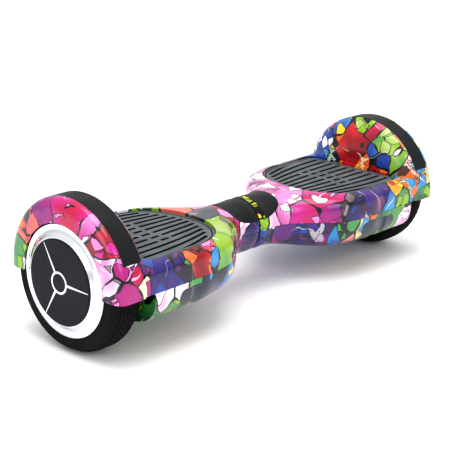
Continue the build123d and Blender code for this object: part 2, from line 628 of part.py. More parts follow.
def stator():
    """The wound stator, slotted all round."""
    core = rod_x(STATOR_RADIUS, STATOR_IN_X, STATOR_OUT_X)
    core -= rod_x(AXLE_SHOULDER_RADIUS + RUNNING, STATOR_IN_X - 1.0, STATOR_OUT_X + 1.0)
    slot_z = AXLE_Z + STATOR_RADIUS * 0.78
    slot = rod_x(STATOR_RADIUS * 0.07, STATOR_IN_X - 1.0, STATOR_OUT_X + 1.0, z=slot_z)
    return core - ring_of(slot, STATOR_SLOTS)


def motor_cable():
    """The lead from the hollow axle down to its plug on the floor plate."""
    plug_x = CLAMP_IN_X - 11.0
    plug_z = PLATE_TOP_Z + PLUG_HEIGHT
    path = FilletPolyline((CLAMP_IN_X + 6.0, 0, AXLE_Z), (plug_x, 0, AXLE_Z), (plug_x, 0, plug_z), radius=10.0)
    tube = sweep(Plane(path @ 0, z_dir=path % 0) * Circle(CABLE_RADIUS), path)
    plug = block(plug_x - 5.0, plug_x + 5.0, -PLUG_HALF_WIDTH, PLUG_HALF_WIDTH, PLATE_TOP_Z, plug_z)
    return tube + plug


def rim():
    """The drum that the tyre sits on, with a dished outer face and the outer bearing's boss."""
    bearing_in, bearing_out = bearing_spans()[1]
    seat = RIM_SEAT_RADIUS
    inner = BARREL_INNER_RADIUS
    edge = RIM_EDGE_RADIUS
    edge_x = TYRE_OUT_X + 1.0
    disc_seat_x = FACE_DISC_X - HUB_DISC_THICKNESS
    pocket = HUB_DISC_RADIUS + SEATING
    boss = BEARING_RADIUS + BOSS_WALL
    web_x = disc_seat_x - 4.0
    return turned(
        (RIM_COVER_X, inner), (RIM_COVER_X, seat), (TYRE_OUT_X - 2.0, seat), (TYRE_OUT_X - 2.0, edge - 0.5),
        (TYRE_OUT_X - 1.5, edge), (edge_x - 0.5, edge), (edge_x, edge - 0.5), (edge_x - 0.4, edge - 1.6),
        (edge_x - 0.8, edge - 3.4), (edge_x - 0.4, edge - 6.4), (edge_x + 1.0, edge - 9.6),
        (edge_x + 3.2, edge - 12.4), (HUB_FACE_X - 1.9, pocket + 0.8), (HUB_FACE_X - 1.9, pocket),
        (disc_seat_x, pocket), (disc_seat_x, 0), (bearing_out + 1.5, 0), (bearing_out + 1.5, 10.0),
        (bearing_out, 10.0), (bearing_out, BEARING_RADIUS), (bearing_in, BEARING_RADIUS), (bearing_in, boss),
        (web_x, boss), (web_x, HUB_DISC_RADIUS - 4.0), (web_x - 4.0, inner))


def rim_screw(gap):
    """One screw of the wheel's inner cover, grown by a gap when it is used as a hole."""
    radius = AXLE_Z + (RIM_SEAT_RADIUS + BARREL_INNER_RADIUS) / 2
    start = TYRE_IN_X + 1.0
    head = rod_x(RIM_SCREW_RADIUS + RIM_SCREW_HEAD_GROWTH + gap, TYRE_IN_X - 0.2, TYRE_IN_X + 1.4, z=radius)
    return head + rod_x(RIM_SCREW_RADIUS + gap, start, start + RIM_SCREW_LENGTH + gap, z=radius)


def rim_cover():
    """The wheel's inner side plate with the inner bearing's boss."""
    bearing_in, bearing_out = bearing_spans()[0]
    boss = BEARING_RADIUS + BOSS_WALL
    plate = turned((bearing_in - 1.5, BEARING_RADIUS), (bearing_in - 1.5, boss), (TYRE_IN_X - 0.2, boss),
                   (TYRE_IN_X - 0.2, RIM_EDGE_RADIUS), (RIM_COVER_X, RIM_EDGE_RADIUS), (RIM_COVER_X, boss),
                   (bearing_out, boss), (bearing_out, BEARING_RADIUS))
    return plate - ring_of(rim_screw(SEATING), RIM_SCREW_COUNT)


def drilled_rim():
    """The rim with the holes for its cover's screws."""
    return rim() - ring_of(rim_screw(RUNNING), RIM_SCREW_COUNT)


def magnet_ring():
    """The ring of magnets inside the rim's barrel."""
    return rod_x(BARREL_INNER_RADIUS - RUNNING, STATOR_IN_X - 2.0, STATOR_OUT_X + 2.0) - rod_x(
        MAGNET_INNER_RADIUS, STATOR_IN_X - 3.0, STATOR_OUT_X + 3.0)


def wheel_bearings():
    """Two ball races, each with a running fit on the axle."""
    races = []
    for x_from, x_to in bearing_spans():
        race = rod_x(BEARING_RADIUS, x_from, x_to) - rod_x(AXLE_RADIUS + RUNNING, x_from - 1.0, x_to + 1.0)
        track = rod_x(BEARING_RADIUS - 1.8, x_to - 0.8, x_to + 1.0)
        track -= rod_x(AXLE_RADIUS + 1.8, x_to - 1.0, x_to + 2.0)
        races.append(race - track)
    return races


def tyre():
    """The solid tyre: bead, bulged side walls and a crowned tread with shallow grooves."""
    bead = RIM_SEAT_RADIUS + RUNNING
    notch = RIM_EDGE_RADIUS + SEATING
    shoulder = TYRE_RADIUS - 1.2
    inner = [(RIM_COVER_X + SEATING, bead), (RIM_COVER_X + SEATING, notch), (TYRE_IN_X + 0.3, notch + 1.2),
             (TYRE_IN_X, TYRE_RADIUS - 12.0), (TYRE_IN_X + 2.0, TYRE_RADIUS - 5.5)]
    outer = [(TYRE_OUT_X - 2.0, TYRE_RADIUS - 5.5), (TYRE_OUT_X, TYRE_RADIUS - 12.0),
             (TYRE_OUT_X - 0.3, notch + 1.2), (TYRE_OUT_X - 2.0 - SEATING, notch), (TYRE_OUT_X - 2.0 - SEATING, bead)]
    tread = [(TYRE_IN_X + 6.0, shoulder - 0.6), (TYRE_IN_X + 10.0, shoulder + 0.3)]
    for place in (-1, 0, 1):
        shift = place * TREAD_GROOVE_PITCH
        middle = TYRE_MID_X + shift
        crown = TYRE_RADIUS - 0.006 * shift ** 2
        floor = crown - TREAD_GROOVE_DEPTH
        tread += [(middle - 0.8, crown), (middle - 0.5, floor), (middle + 0.5, floor), (middle + 0.8, crown)]
    tread += [(TYRE_OUT_X - 10.0, shoulder + 0.3), (TYRE_OUT_X - 6.0, shoulder - 0.6)]
    return turned(*inner, *tread, *outer)


def hub_disc():
    """The black disc in the middle of the wheel's outer face."""
    radius = HUB_DISC_RADIUS
    back_x = FACE_DISC_X - HUB_DISC_THICKNESS
    return turned((back_x, 0), (back_x, radius), (FACE_DISC_X - 0.8, radius), (FACE_DISC_X - 0.2, radius - 0.7),
                  (FACE_DISC_X, radius - 1.8), (FACE_DISC_X, 0))


def hub_spider():
    """The thin bright ring and its three tapered spokes on the disc."""
    hole = SPIDER_RING_RADIUS - SPIDER_RING_WIDTH
    ring = rod_x(SPIDER_RING_RADIUS, FACE_DISC_X, HUB_FACE_X) - rod_x(hole, FACE_DISC_X - 1.0, HUB_FACE_X + 1.0)
    root, tip = SPOKE_ROOT_WIDTH / 2, SPOKE_TIP_WIDTH / 2
    root_z = AXLE_Z + SPIDER_RING_RADIUS - 1.0
    tip_z = AXLE_Z + HUB_DISC_RADIUS - 2.0
    taper = [(FACE_DISC_X, root, root_z), (FACE_DISC_X, tip, tip_z), (FACE_DISC_X, -tip, tip_z),
             (FACE_DISC_X, -root, root_z)]
    spoke = extrude(make_face(Polyline(*taper, close=True)), amount=SPIDER_THICKNESS, dir=(1, 0, 0))
    first = Pos(0, 0, AXLE_Z) * Rot(90, 0, 0) * Pos(0, 0, -AXLE_Z) * spoke
    return ring + ring_of(first, SPOKE_COUNT)


def foot_mat():
    """The rubber pad, with a border groove and a fan of grooves that two cross ribs interrupt."""
    body = Pos(0, 0, PAD_BOTTOM_Z) * extrude(pad_outline(), PAD_THICKNESS)
    border = pad_outline(-BORDER_GROOVE_INSET) - pad_outline(-BORDER_GROOVE_INSET - BORDER_GROOVE_WIDTH)
    lines = []
    for place in range(2 * GROOVE_PAIRS):
        row = place - GROOVE_PAIRS + 0.5
        start = PAD_TIP_X + GROOVE_MARGIN + 2.5 + 0.75 * row * row
        end = PAD_END_X - GROOVE_MARGIN
        middle_pitch = (GROOVE_TIP_PITCH + GROOVE_END_PITCH) / 2 + GROOVE_BOW
        run = Spline((start, GROOVE_TIP_PITCH * row, 0), ((start + end) / 2, middle_pitch * row, 0),
                     (end, GROOVE_END_PITCH * row, 0))
        lines.append(trace(run, GROOVE_WIDTH))
    grooves = (Sketch() + lines) & pad_outline(-GROOVE_MARGIN)
    for place in range(2):
        cross_x = PLUNGER_X + CROSS_RIB_FIRST + place * CROSS_RIB_SPACING
        back_x = cross_x - CROSS_RIB_REACH / 5
        rib = ThreePointArc((back_x, -CROSS_RIB_REACH, 0), (cross_x, 0, 0), (back_x, CROSS_RIB_REACH, 0))
        grooves -= trace(rib, CROSS_RIB_WIDTH)
    cut_z = PAD_TOP_Z - GROOVE_DEPTH
    return body - Pos(0, 0, cut_z) * extrude(grooves, BIG) - Pos(0, 0, cut_z) * extrude(border, BIG)


def pad_plungers():
    """The two pins that carry the pad's movement to the switches."""
    low = SENSOR_Z + BOARD_THICKNESS + SWITCH_HEIGHT + PAD_TRAVEL + PAD_STOP_GAP
    return [rod_z(PLUNGER_RADIUS, low, PAD_BOTTOM_Z, PLUNGER_X, side * PLUNGER_SPACING / 2) for side in (1, -1)]


def sensor_board():
    """The board under the tub, with a switch below each plunger."""
    half_length = SENSOR_BOARD_LENGTH / 2
    half_width = SENSOR_BOARD_WIDTH / 2
    top = SENSOR_Z + BOARD_THICKNESS
    board = block(PLUNGER_X - half_length, PLUNGER_X + half_length, -half_width, half_width, SENSOR_Z, top)
    switch_places = [side * PLUNGER_SPACING / 2 for side in (1, -1)]
    switches = [block(PLUNGER_X - 4.0, PLUNGER_X + 4.0, y - 3.0, y + 3.0, top, top + SWITCH_HEIGHT)
                for y in switch_places]
    return board + switches


# ---- Pieces that only one half holds, or that join the halves ----
def pivot_shaft():
    """The hollow shaft: held in the left frame, and turning in the right frame's bushes."""
    tube = rod_x(SHAFT_RADIUS, -BOSS_END_X, CIRCLIP_X + CIRCLIP_WIDTH + 2.0) - rod_x(SHAFT_BORE_RADIUS, -BIG, BIG)
    groove = rod_x(SHAFT_RADIUS + 1.0, CIRCLIP_X, CIRCLIP_X + CIRCLIP_WIDTH)
    return tube - (groove - rod_x(SHAFT_RADIUS - CIRCLIP_DEPTH, -BIG, BIG))


def pivot_circlip():
    """The open ring that keeps the right half on the shaft."""
    clip = rod_x(SHAFT_RADIUS + 3.0, CIRCLIP_X + RUNNING, CIRCLIP_X + CIRCLIP_WIDTH - RUNNING)
    clip -= rod_x(SHAFT_RADIUS - CIRCLIP_DEPTH + RUNNING, 0, BIG)
    return clip - block(0, BIG, -5.0, 5.0, 0, AXLE_Z - SHAFT_RADIUS / 2)


def pivot_bushes():
    """Two flanged bushes in the right frame; the inner flange takes the thrust between the halves."""
    outer = SHAFT_RADIUS + BUSH_WALL
    inner_bush = rod_x(outer, PIVOT_FACE_X, 30.0) + rod_x(outer + 1.4, -PIVOT_FACE_X + SEATING, PIVOT_FACE_X)
    outer_bush = rod_x(outer, BOSS_END_X - 20.0, BOSS_END_X) + rod_x(outer + 3.0, BOSS_END_X, BOSS_END_X + 1.6)
    bore = rod_x(SHAFT_RADIUS + RUNNING, -BIG, BIG)
    return [inner_bush - bore, outer_bush - bore]


def stop_pin():
    """The pin that limits how far the halves twist."""
    return rod_x(STOP_PIN_RADIUS, -8.9, PIVOT_FACE_X + 6.0, z=AXLE_Z + STOP_PIN_OFFSET)


def seam_ring():
    """The thin black seal between the two necks, on the left neck's end."""
    return rod_x(NECK_RADIUS + 0.4, -SEAM_GAP / 2, SEAM_GAP / 2 - PIN_CLEARANCE) - rod_x(
        PIVOT_FLANGE_RADIUS + 1.0, -BIG, BIG)


def link_cable():
    """The lead through the hollow shaft, from the battery to its plug in the right half."""
    lead = rod_x(LINK_CABLE_RADIUS, -BAY_IN_X, BOSS_END_X + 10.0)
    plug = block(BOSS_END_X + 10.0, BOSS_END_X + 22.0, -PLUG_HALF_WIDTH, PLUG_HALF_WIDTH, AXLE_Z - 5.0, AXLE_Z + 5.0)
    return lead + plug


def battery_pack():
    """The battery in the left half, with rounded-off upright edges."""
    pack = block(-BAY_OUT_X, -BAY_IN_X, -BATTERY_WIDTH / 2, BATTERY_WIDTH / 2, PLATE_TOP_Z,
                 PLATE_TOP_Z + BATTERY_HEIGHT)
    return chamfer(pack.edges().filter_by(Axis.Z), 3.0)


def battery_strap():
    """The steel strap over the battery, with a foot on the plate at each side."""
    middle = -(BAY_IN_X + BAY_OUT_X) / 2
    low, high = middle - STRAP_WIDTH / 2, middle + STRAP_WIDTH / 2
    side_y = BATTERY_WIDTH / 2 + PACK_GAP
    top_z = PLATE_TOP_Z + BATTERY_HEIGHT + PACK_GAP
    thick = STRAP_THICKNESS
    strap = block(low, high, -side_y - thick, side_y + thick, top_z, top_z + thick)
    for side in (1, -1):
        near, far = sorted((side * side_y, side * (side_y + thick)))
        strap += block(low, high, near, far, PLATE_TOP_Z, top_z + thick)
        near, far = sorted((side * side_y, side * PLATE_HALF_WIDTH))
        strap += block(low, high, near, far, PLATE_TOP_Z, PLATE_TOP_Z + thick)
    return strap


def main_board():
    """The control board with its spacers, capacitors, sink and the socket of the link lead."""
    board_z = PLATE_TOP_Z + MAIN_BOARD_RISE
    top = board_z + BOARD_THICKNESS
    half_width = MAIN_BOARD_HALF_WIDTH
    board = block(BAY_IN_X, BAY_OUT_X, -half_width, half_width, board_z, top)
    pieces = []
    for x in (BAY_IN_X + MAIN_SPACER_INSET, BAY_OUT_X - MAIN_SPACER_INSET):
        for y in (MAIN_SPACER_INSET - half_width, half_width - MAIN_SPACER_INSET):
            pieces.append(rod_z(SPACER_RADIUS, PLATE_TOP_Z, board_z, x, y))
    for place in range(3):
        x = BAY_IN_X + 14.0 + CAPACITOR_PITCH * place
        pieces.append(rod_z(CAPACITOR_RADIUS, top, top + CAPACITOR_HEIGHT, x, 34.0))
    pieces.append(block(BAY_IN_X + 8.0, BAY_OUT_X - 8.0, -46.0, -20.0, top, top + HEAT_SINK_HEIGHT))
    pieces.append(block(BAY_IN_X + 2.0, BAY_IN_X + 12.0, -9.0, 9.0, top, AXLE_Z - 8.0))
    return board + pieces


def charge_socket():
    """The round three-contact charging socket in the rear wall."""
    outer = PORT_RADIUS + PORT_WALL
    face = REAR_FACE_Y
    deep = face - PORT_DEPTH - PORT_BACK
    body = rod_y(outer, deep - 2.0, face, PORT_X, REAR_FITTING_Z)
    body += rod_y(outer + PORT_FLANGE, face - 12.5, face - 10.0, PORT_X, REAR_FITTING_Z) & FLANGE_FRONT
    body -= rod_y(PORT_RADIUS, face - PORT_DEPTH, face + 1.0, PORT_X, REAR_FITTING_Z)
    body -= rod_y(PORT_RADIUS - 0.4, deep, face, PORT_X, REAR_FITTING_Z)
    for turn in (90, 210, 330):
        x = PORT_X + CONTACT_CIRCLE * cos(radians(turn))
        z = REAR_FITTING_Z + CONTACT_CIRCLE * sin(radians(turn))
        body += rod_y(CONTACT_RADIUS, deep, face - PORT_DEPTH - 0.8, x, z)
    return body


def button_bezel():
    """The bezel and switch housing that the power button slides in."""
    face = REAR_FACE_Y
    housing = rod_y(BUTTON_RADIUS + BEZEL_WALL, face - BEZEL_DEPTH, face, BUTTON_X, REAR_FITTING_Z)
    return housing - rod_y(BUTTON_RADIUS + RUNNING, face - BUTTON_BORE_DEPTH, face + 1.0, BUTTON_X, REAR_FITTING_Z)


def power_button():
    """The round button, slightly dished, with room behind it for its travel."""
    face = REAR_FACE_Y + BUTTON_RISE
    back = REAR_FACE_Y - BUTTON_BORE_DEPTH + BUTTON_TRAVEL + PIN_CLEARANCE
    button = rod_y(BUTTON_RADIUS, back, face, BUTTON_X, REAR_FITTING_Z)
    return button - rod_y(BUTTON_RADIUS - BUTTON_RIM, face - 0.3, face + 1.0, BUTTON_X, REAR_FITTING_Z)


def rear_fitting_holes():
    """The two round holes in the rear wall, for the charging socket and for the button's bezel."""
    start = BODY_HALF_WIDTH - 14.0
    port = rod_y(PORT_RADIUS + PORT_WALL + SEATING, start, BIG, PORT_X, REAR_FITTING_Z)
    return port + rod_y(BUTTON_RADIUS + BEZEL_WALL + SEATING, start, BIG, BUTTON_X, REAR_FITTING_Z)


def gather(shape):
    """One compound from a piece or from a list of separate pieces."""
    return Compound(children=list(shape)) if isinstance(shape, list) else shape


def build_nodes():
    """Every named piece, with the left half's pieces mirrored from the right half's."""
    nodes = {}
    shared = {
        "top_cover": top_cover(), "fender_trim": fender_trim(), "neck_panel": neck_panel(),
        "light_lens": light_lens(), "light_board": light_board(), "axle_clamp": axle_clamp(),
        "clamp_screws": clamp_screws(), "cover_screws": cover_screws(), "sensor_board": sensor_board(),
        "axle": axle(), "stator": stator(), "motor_cable": motor_cable(), "tyre": tyre(), "rim": drilled_rim(),
        "rim_cover": rim_cover(), "magnet_ring": magnet_ring(), "hub_disc": hub_disc(),
        "hub_spider": hub_spider(), "wheel_bearings": wheel_bearings(),
        "rim_screws": ring_of(rim_screw(0), RIM_SCREW_COUNT), "foot_mat": foot_mat(),
        "pad_plungers": pad_plungers(),
    }
    for name, shape in shared.items():
        whole = gather(shape)
        nodes["right_" + name] = whole
        nodes["left_" + name] = mirror(whole, about=Plane.YZ)
    tray = bottom_cover()
    nodes["right_bottom_cover"] = tray - rear_fitting_holes()
    nodes["left_bottom_cover"] = mirror(tray, about=Plane.YZ)
    nodes["right_chassis"] = chassis(with_bushes=True)
    nodes["left_chassis"] = mirror(chassis(with_bushes=False), about=Plane.YZ)
    for maker in (pivot_shaft, pivot_bushes, pivot_circlip, stop_pin, seam_ring, link_cable, battery_pack,
                  battery_strap, main_board, charge_socket, button_bezel, power_button):
        nodes[maker.__name__] = gather(maker())
    return nodes


os.makedirs("parts", exist_ok=True)
for node, shape in build_nodes().items():
    export_step(shape, f"parts/{node}.step")
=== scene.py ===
import math

import bmesh
import bpy
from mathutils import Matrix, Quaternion, Vector


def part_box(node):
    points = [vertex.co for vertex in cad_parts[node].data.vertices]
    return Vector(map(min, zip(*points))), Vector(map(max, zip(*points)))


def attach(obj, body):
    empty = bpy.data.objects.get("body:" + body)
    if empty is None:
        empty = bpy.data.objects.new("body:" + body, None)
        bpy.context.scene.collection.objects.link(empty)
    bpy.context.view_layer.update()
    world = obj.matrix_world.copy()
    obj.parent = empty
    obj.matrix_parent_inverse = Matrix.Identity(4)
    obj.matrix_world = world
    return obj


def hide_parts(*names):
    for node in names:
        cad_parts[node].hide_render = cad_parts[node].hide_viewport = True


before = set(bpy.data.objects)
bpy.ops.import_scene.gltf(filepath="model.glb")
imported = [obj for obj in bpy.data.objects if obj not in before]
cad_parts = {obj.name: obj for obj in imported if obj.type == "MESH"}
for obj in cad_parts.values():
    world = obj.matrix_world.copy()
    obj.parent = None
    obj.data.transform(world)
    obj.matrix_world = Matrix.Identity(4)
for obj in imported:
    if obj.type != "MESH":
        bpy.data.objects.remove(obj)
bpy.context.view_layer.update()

HAND_SIDES = ("left_", "right_")

# ---------------------------------------------------------------- paint box


def paint(code):
    """The linear colour of a web colour code such as "d6309a"."""
    channels = []
    for start in (0, 2, 4):
        share = int(code[start:start + 2], 16) / 255
        channels.append(share / 12.92 if share <= 0.04045 else ((share + 0.055) / 1.055) ** 2.4)
    return (*channels, 1.0)


WHITE = paint("ebe6ec")
BLACK = paint("15151a")
SLATE = paint("343a44")
MIST_GREY = paint("8e8088")
TAUPE = paint("6c5860")
HOT_PINK = paint("bc2488")
MAGENTA = paint("a8207c")
CRIMSON = paint("b8144e")
PALE_PINK = paint("d488be")
ROSE = paint("cc5c74")
RED = paint("c8202c")
DEEP_RED = paint("8a0f1c")
SALMON = paint("d8705e")
ORANGE = paint("dc6c30")
YELLOW = paint("e8c828")
PEACH = paint("ecd0ba")
CREAM = paint("e4d8a8")
BROWN = paint("543428")
LIME = paint("8cb020")
PALE_LIME = paint("a0b860")
GREEN = paint("4c9450")
FOREST = paint("23502f")
SKY = paint("3494cc")
BLUE = paint("24489c")
NAVY = paint("22244e")
INDIGO = paint("34227a")
PURPLE = paint("642878")
PLUM = paint("401c50")

# Each look of the print: main colour, the colour it deepens to, two colours of its small shapes,
# and how busy it is with them.
LOOKS = {
    "white": (WHITE, PALE_PINK, WHITE, MIST_GREY, 0.25),
    "peach": (PEACH, WHITE, MAGENTA, GREEN, 0.5),
    "pale pink": (PALE_PINK, HOT_PINK, WHITE, MAGENTA, 0.4),
    "hot pink": (HOT_PINK, CRIMSON, PALE_PINK, WHITE, 0.25),
    "magenta": (MAGENTA, PURPLE, HOT_PINK, PALE_PINK, 0.35),
    "crimson": (CRIMSON, DEEP_RED, HOT_PINK, PALE_PINK, 0.2),
    "rose": (ROSE, CRIMSON, PALE_PINK, SLATE, 0.4),
    "red": (RED, DEEP_RED, ORANGE, BLACK, 0.35),
    "salmon": (SALMON, ROSE, ORANGE, SLATE, 0.3),
    "yellow": (YELLOW, ORANGE, YELLOW, RED, 0.3),
    "lime": (LIME, GREEN, PALE_LIME, BLACK, 0.25),
    "pale lime": (PALE_LIME, LIME, WHITE, TAUPE, 0.35),
    "green": (GREEN, FOREST, LIME, WHITE, 0.35),
    "forest": (FOREST, BLACK, ORANGE, GREEN, 0.6),
    "sky": (SKY, BLUE, YELLOW, SKY, 0.2),
    "blue": (BLUE, NAVY, SKY, WHITE, 0.45),
    "navy": (NAVY, BLACK, BLUE, INDIGO, 0.3),
    "indigo": (INDIGO, NAVY, BLUE, PURPLE, 0.3),
    "purple": (PURPLE, INDIGO, PLUM, MAGENTA, 0.35),
    "plum": (PLUM, NAVY, INDIGO, PURPLE, 0.45),
    "mist": (MIST_GREY, TAUPE, PALE_PINK, WHITE, 0.4),
    "taupe": (TAUPE, SLATE, MIST_GREY, ROSE, 0.4),
    "shade": (BLACK, NAVY, GREEN, YELLOW, 0.45),
    "market": (CREAM, BROWN, ORANGE, SKY, 0.6),
}
LOOK_NAMES = tuple(LOOKS)

# Where each look lies on the four printed covers: its middle and how far it reaches, in metres.
LEFT_TOP_AREAS = (
    ("green", (-0.285, 0.088, 0.1), 0.03),
    ("salmon", (-0.285, 0.07, 0.142), 0.028),
    ("magenta", (-0.285, 0.035, 0.168), 0.026),
    ("hot pink", (-0.285, -0.01, 0.175), 0.034),
    ("pale pink", (-0.288, -0.044, 0.158), 0.016),
    ("crimson", (-0.28, -0.066, 0.14), 0.022),
    ("white", (-0.29, -0.07, 0.118), 0.022),
    ("pale pink", (-0.275, -0.086, 0.118), 0.016),
    ("white", (-0.29, -0.086, 0.098), 0.018),
    ("magenta", (-0.278, -0.092, 0.088), 0.02),
    ("crimson", (-0.262, -0.09, 0.105), 0.012),
    ("peach", (-0.252, -0.092, 0.094), 0.013),
    ("purple", (-0.243, -0.09, 0.112), 0.014),
    ("indigo", (-0.222, -0.093, 0.098), 0.03),
    ("plum", (-0.2, -0.092, 0.104), 0.014),
    ("shade", (-0.187, -0.093, 0.096), 0.011),
    ("red", (-0.164, -0.092, 0.1), 0.018),
    ("rose", (-0.15, -0.082, 0.117), 0.016),
    ("sky", (-0.141, -0.092, 0.1), 0.008),
    ("lime", (-0.118, -0.085, 0.1), 0.018),
    ("rose", (-0.097, -0.075, 0.09), 0.012),
    ("pale lime", (-0.08, -0.045, 0.112), 0.022),
    ("taupe", (-0.076, -0.008, 0.115), 0.016),
    ("salmon", (-0.082, 0.03, 0.115), 0.014),
    ("pale pink", (-0.055, 0.03, 0.115), 0.018),
    ("green", (-0.12, 0.07, 0.114), 0.03),
    ("mist", (-0.185, 0.088, 0.112), 0.03),
    ("crimson", (-0.04, -0.02, 0.11), 0.014),
    ("white", (-0.022, -0.028, 0.1), 0.01),
    ("indigo", (-0.01, -0.03, 0.092), 0.012),
    ("rose", (-0.03, 0.03, 0.1), 0.02),
)
LEFT_BOTTOM_AREAS = (
    ("green", (-0.24, -0.09, 0.062), 0.014),
    ("white", (-0.222, -0.092, 0.07), 0.014),
    ("green", (-0.21, -0.09, 0.055), 0.015),
    ("white", (-0.198, -0.092, 0.077), 0.01),
    ("forest", (-0.18, -0.088, 0.05), 0.018),
    ("lime", (-0.17, -0.092, 0.08), 0.008),
    ("blue", (-0.15, -0.09, 0.08), 0.012),
    ("navy", (-0.135, -0.086, 0.07), 0.018),
    ("sky", (-0.11, -0.08, 0.06), 0.014),
    ("yellow", (-0.125, -0.08, 0.048), 0.008),
    ("rose", (-0.09, -0.06, 0.075), 0.014),
    ("lime", (-0.07, -0.05, 0.06), 0.014),
    ("magenta", (-0.045, -0.03, 0.07), 0.016),
    ("plum", (-0.015, -0.03, 0.07), 0.018),
    ("green", (-0.16, 0.08, 0.06), 0.05),
    ("purple", (-0.07, 0.05, 0.06), 0.04),
)
RIGHT_TOP_AREAS = (
    ("lime", (0.01, -0.03, 0.1), 0.012),
    ("white", (0.024, -0.035, 0.096), 0.012),
    ("pale pink", (0.042, -0.04, 0.1), 0.012),
    ("hot pink", (0.058, -0.055, 0.1), 0.02),
    ("pale pink", (0.073, -0.066, 0.104), 0.009),
    ("magenta", (0.084, -0.075, 0.1), 0.017),
    ("taupe", (0.098, -0.082, 0.1), 0.009),
    ("mist", (0.112, -0.086, 0.108), 0.008),
    ("indigo", (0.12, -0.088, 0.096), 0.013),
    ("shade", (0.133, -0.09, 0.105), 0.006),
    ("purple", (0.15, -0.092, 0.1), 0.02),
    ("indigo", (0.175, -0.09, 0.112), 0.02),
    ("sky", (0.19, -0.093, 0.095), 0.01),
    ("yellow", (0.202, -0.093, 0.108), 0.01),
    ("green", (0.212, -0.093, 0.092), 0.012),
    ("hot pink", (0.09, -0.056, 0.118), 0.024),
    ("pale pink", (0.06, -0.02, 0.116), 0.024),
    ("pale pink", (0.06, 0.03, 0.116), 0.022),
    ("white", (0.09, 0.07, 0.114), 0.026),
    ("mist", (0.15, 0.086, 0.114), 0.04),
    ("blue", (0.236, 0.068, 0.132), 0.024),
    ("sky", (0.238, 0.036, 0.166), 0.014),
    ("red", (0.238, 0.012, 0.142), 0.028),
    ("shade", (0.236, 0.038, 0.124), 0.013),
    ("crimson", (0.24, -0.02, 0.163), 0.009),
    ("lime", (0.242, -0.004, 0.17), 0.011),
    ("lime", (0.242, -0.042, 0.15), 0.016),
    ("sky", (0.238, -0.028, 0.138), 0.007),
    ("navy", (0.236, -0.04, 0.128), 0.011),
    ("white", (0.242, -0.058, 0.142), 0.006),
    ("lime", (0.242, -0.064, 0.13), 0.012),
    ("yellow", (0.236, -0.014, 0.119), 0.009),
    ("red", (0.236, -0.038, 0.117), 0.01),
    ("market", (0.25, -0.085, 0.112), 0.026),
    ("green", (0.262, -0.092, 0.092), 0.016),
    ("market", (0.285, -0.05, 0.15), 0.034),
    ("magenta", (0.285, 0.05, 0.15), 0.04),
)
RIGHT_BOTTOM_AREAS = (
    ("navy", (0.012, -0.03, 0.07), 0.016),
    ("white", (0.022, -0.034, 0.079), 0.006),
    ("purple", (0.044, -0.04, 0.07), 0.016),
    ("indigo", (0.062, -0.05, 0.065), 0.014),
    ("purple", (0.08, -0.065, 0.072), 0.014),
    ("plum", (0.07, -0.045, 0.05), 0.02),
    ("sky", (0.096, -0.075, 0.064), 0.009),
    ("forest", (0.112, -0.085, 0.072), 0.012),
    ("salmon", (0.12, -0.085, 0.058), 0.009),
    ("market", (0.132, -0.09, 0.062), 0.012),
    ("forest", (0.16, -0.088, 0.05), 0.02),
    ("green", (0.2, -0.09, 0.07), 0.018),
    ("white", (0.215, -0.092, 0.06), 0.012),
    ("blue", (0.17, 0.08, 0.06), 0.05),
    ("purple", (0.07, 0.05, 0.06), 0.04),
)

# ---------------------------------------------------------------- node helpers


def node(tree, kind, feeds=None, **settings):
    """A new shader node; feeds gives its inputs by name or number, as sockets or plain values."""
    made = tree.nodes.new("ShaderNode" + kind)
    for name, value in settings.items():
        setattr(made, name, value)
    for name, value in (feeds or {}).items():
        feed(tree, made.inputs[name], value)
    return made


def feed(tree, socket, value):
    """Joins another node's output to the socket, or sets the socket's own value."""
    if isinstance(value, bpy.types.NodeSocket):
        tree.links.new(value, socket)
    else:
        socket.default_value = value


def sums(tree, operation, first, second=0.0, third=0.0):
    """The result of a Math node."""
    return node(tree, "Math", {0: first, 1: second, 2: third}, operation=operation).outputs[0]


def arrows(tree, operation, first, second=(0.0, 0.0, 0.0), result="Vector"):
    """The result of a Vector Math node."""
    return node(tree, "VectorMath", {0: first, 1: second}, operation=operation).outputs[result]


def blended(tree, share, under, over, way="MIX"):
    """The under colour with the over colour laid on it by share."""
    mix = node(tree, "Mix", data_type="RGBA", blend_type=way)
    feed(tree, mix.inputs[0], share)
    feed(tree, mix.inputs[6], under)
    feed(tree, mix.inputs[7], over)
    return mix.outputs[2]


def band(tree, value, low, high, out_low=0.0, out_high=1.0):
    """The value carried smoothly from one range into another."""
    return node(
        tree,
        "MapRange",
        {"Value": value, "From Min": low, "From Max": high, "To Min": out_low, "To Max": out_high},
        interpolation_type="SMOOTHSTEP",
    ).outputs["Result"]


def noise(tree, place, scale, detail=3.0, roughness=0.5):
    """A Noise texture's value at a place."""
    feeds = {"Vector": place, "Scale": scale, "Detail": detail, "Roughness": roughness}
    return node(tree, "TexNoise", feeds).outputs["Fac"]


def ramp(tree, value, stops, interpolation="LINEAR"):
    """A colour ramp's colour; stops are (place, colour)."""
    made = node(tree, "ValToRGB", {"Fac": value})
    made.color_ramp.interpolation = interpolation
    elements = made.color_ramp.elements
    while len(elements) < len(stops):
        elements.new(1.0)
    for element, (place, colour) in zip(elements, stops):
        element.position = place
        element.color = colour
    return made.outputs["Color"]


def object_place(tree):
    """Where a point lies on the piece, in metres in the board's own frame."""
    return node(tree, "TexCoord").outputs["Object"]


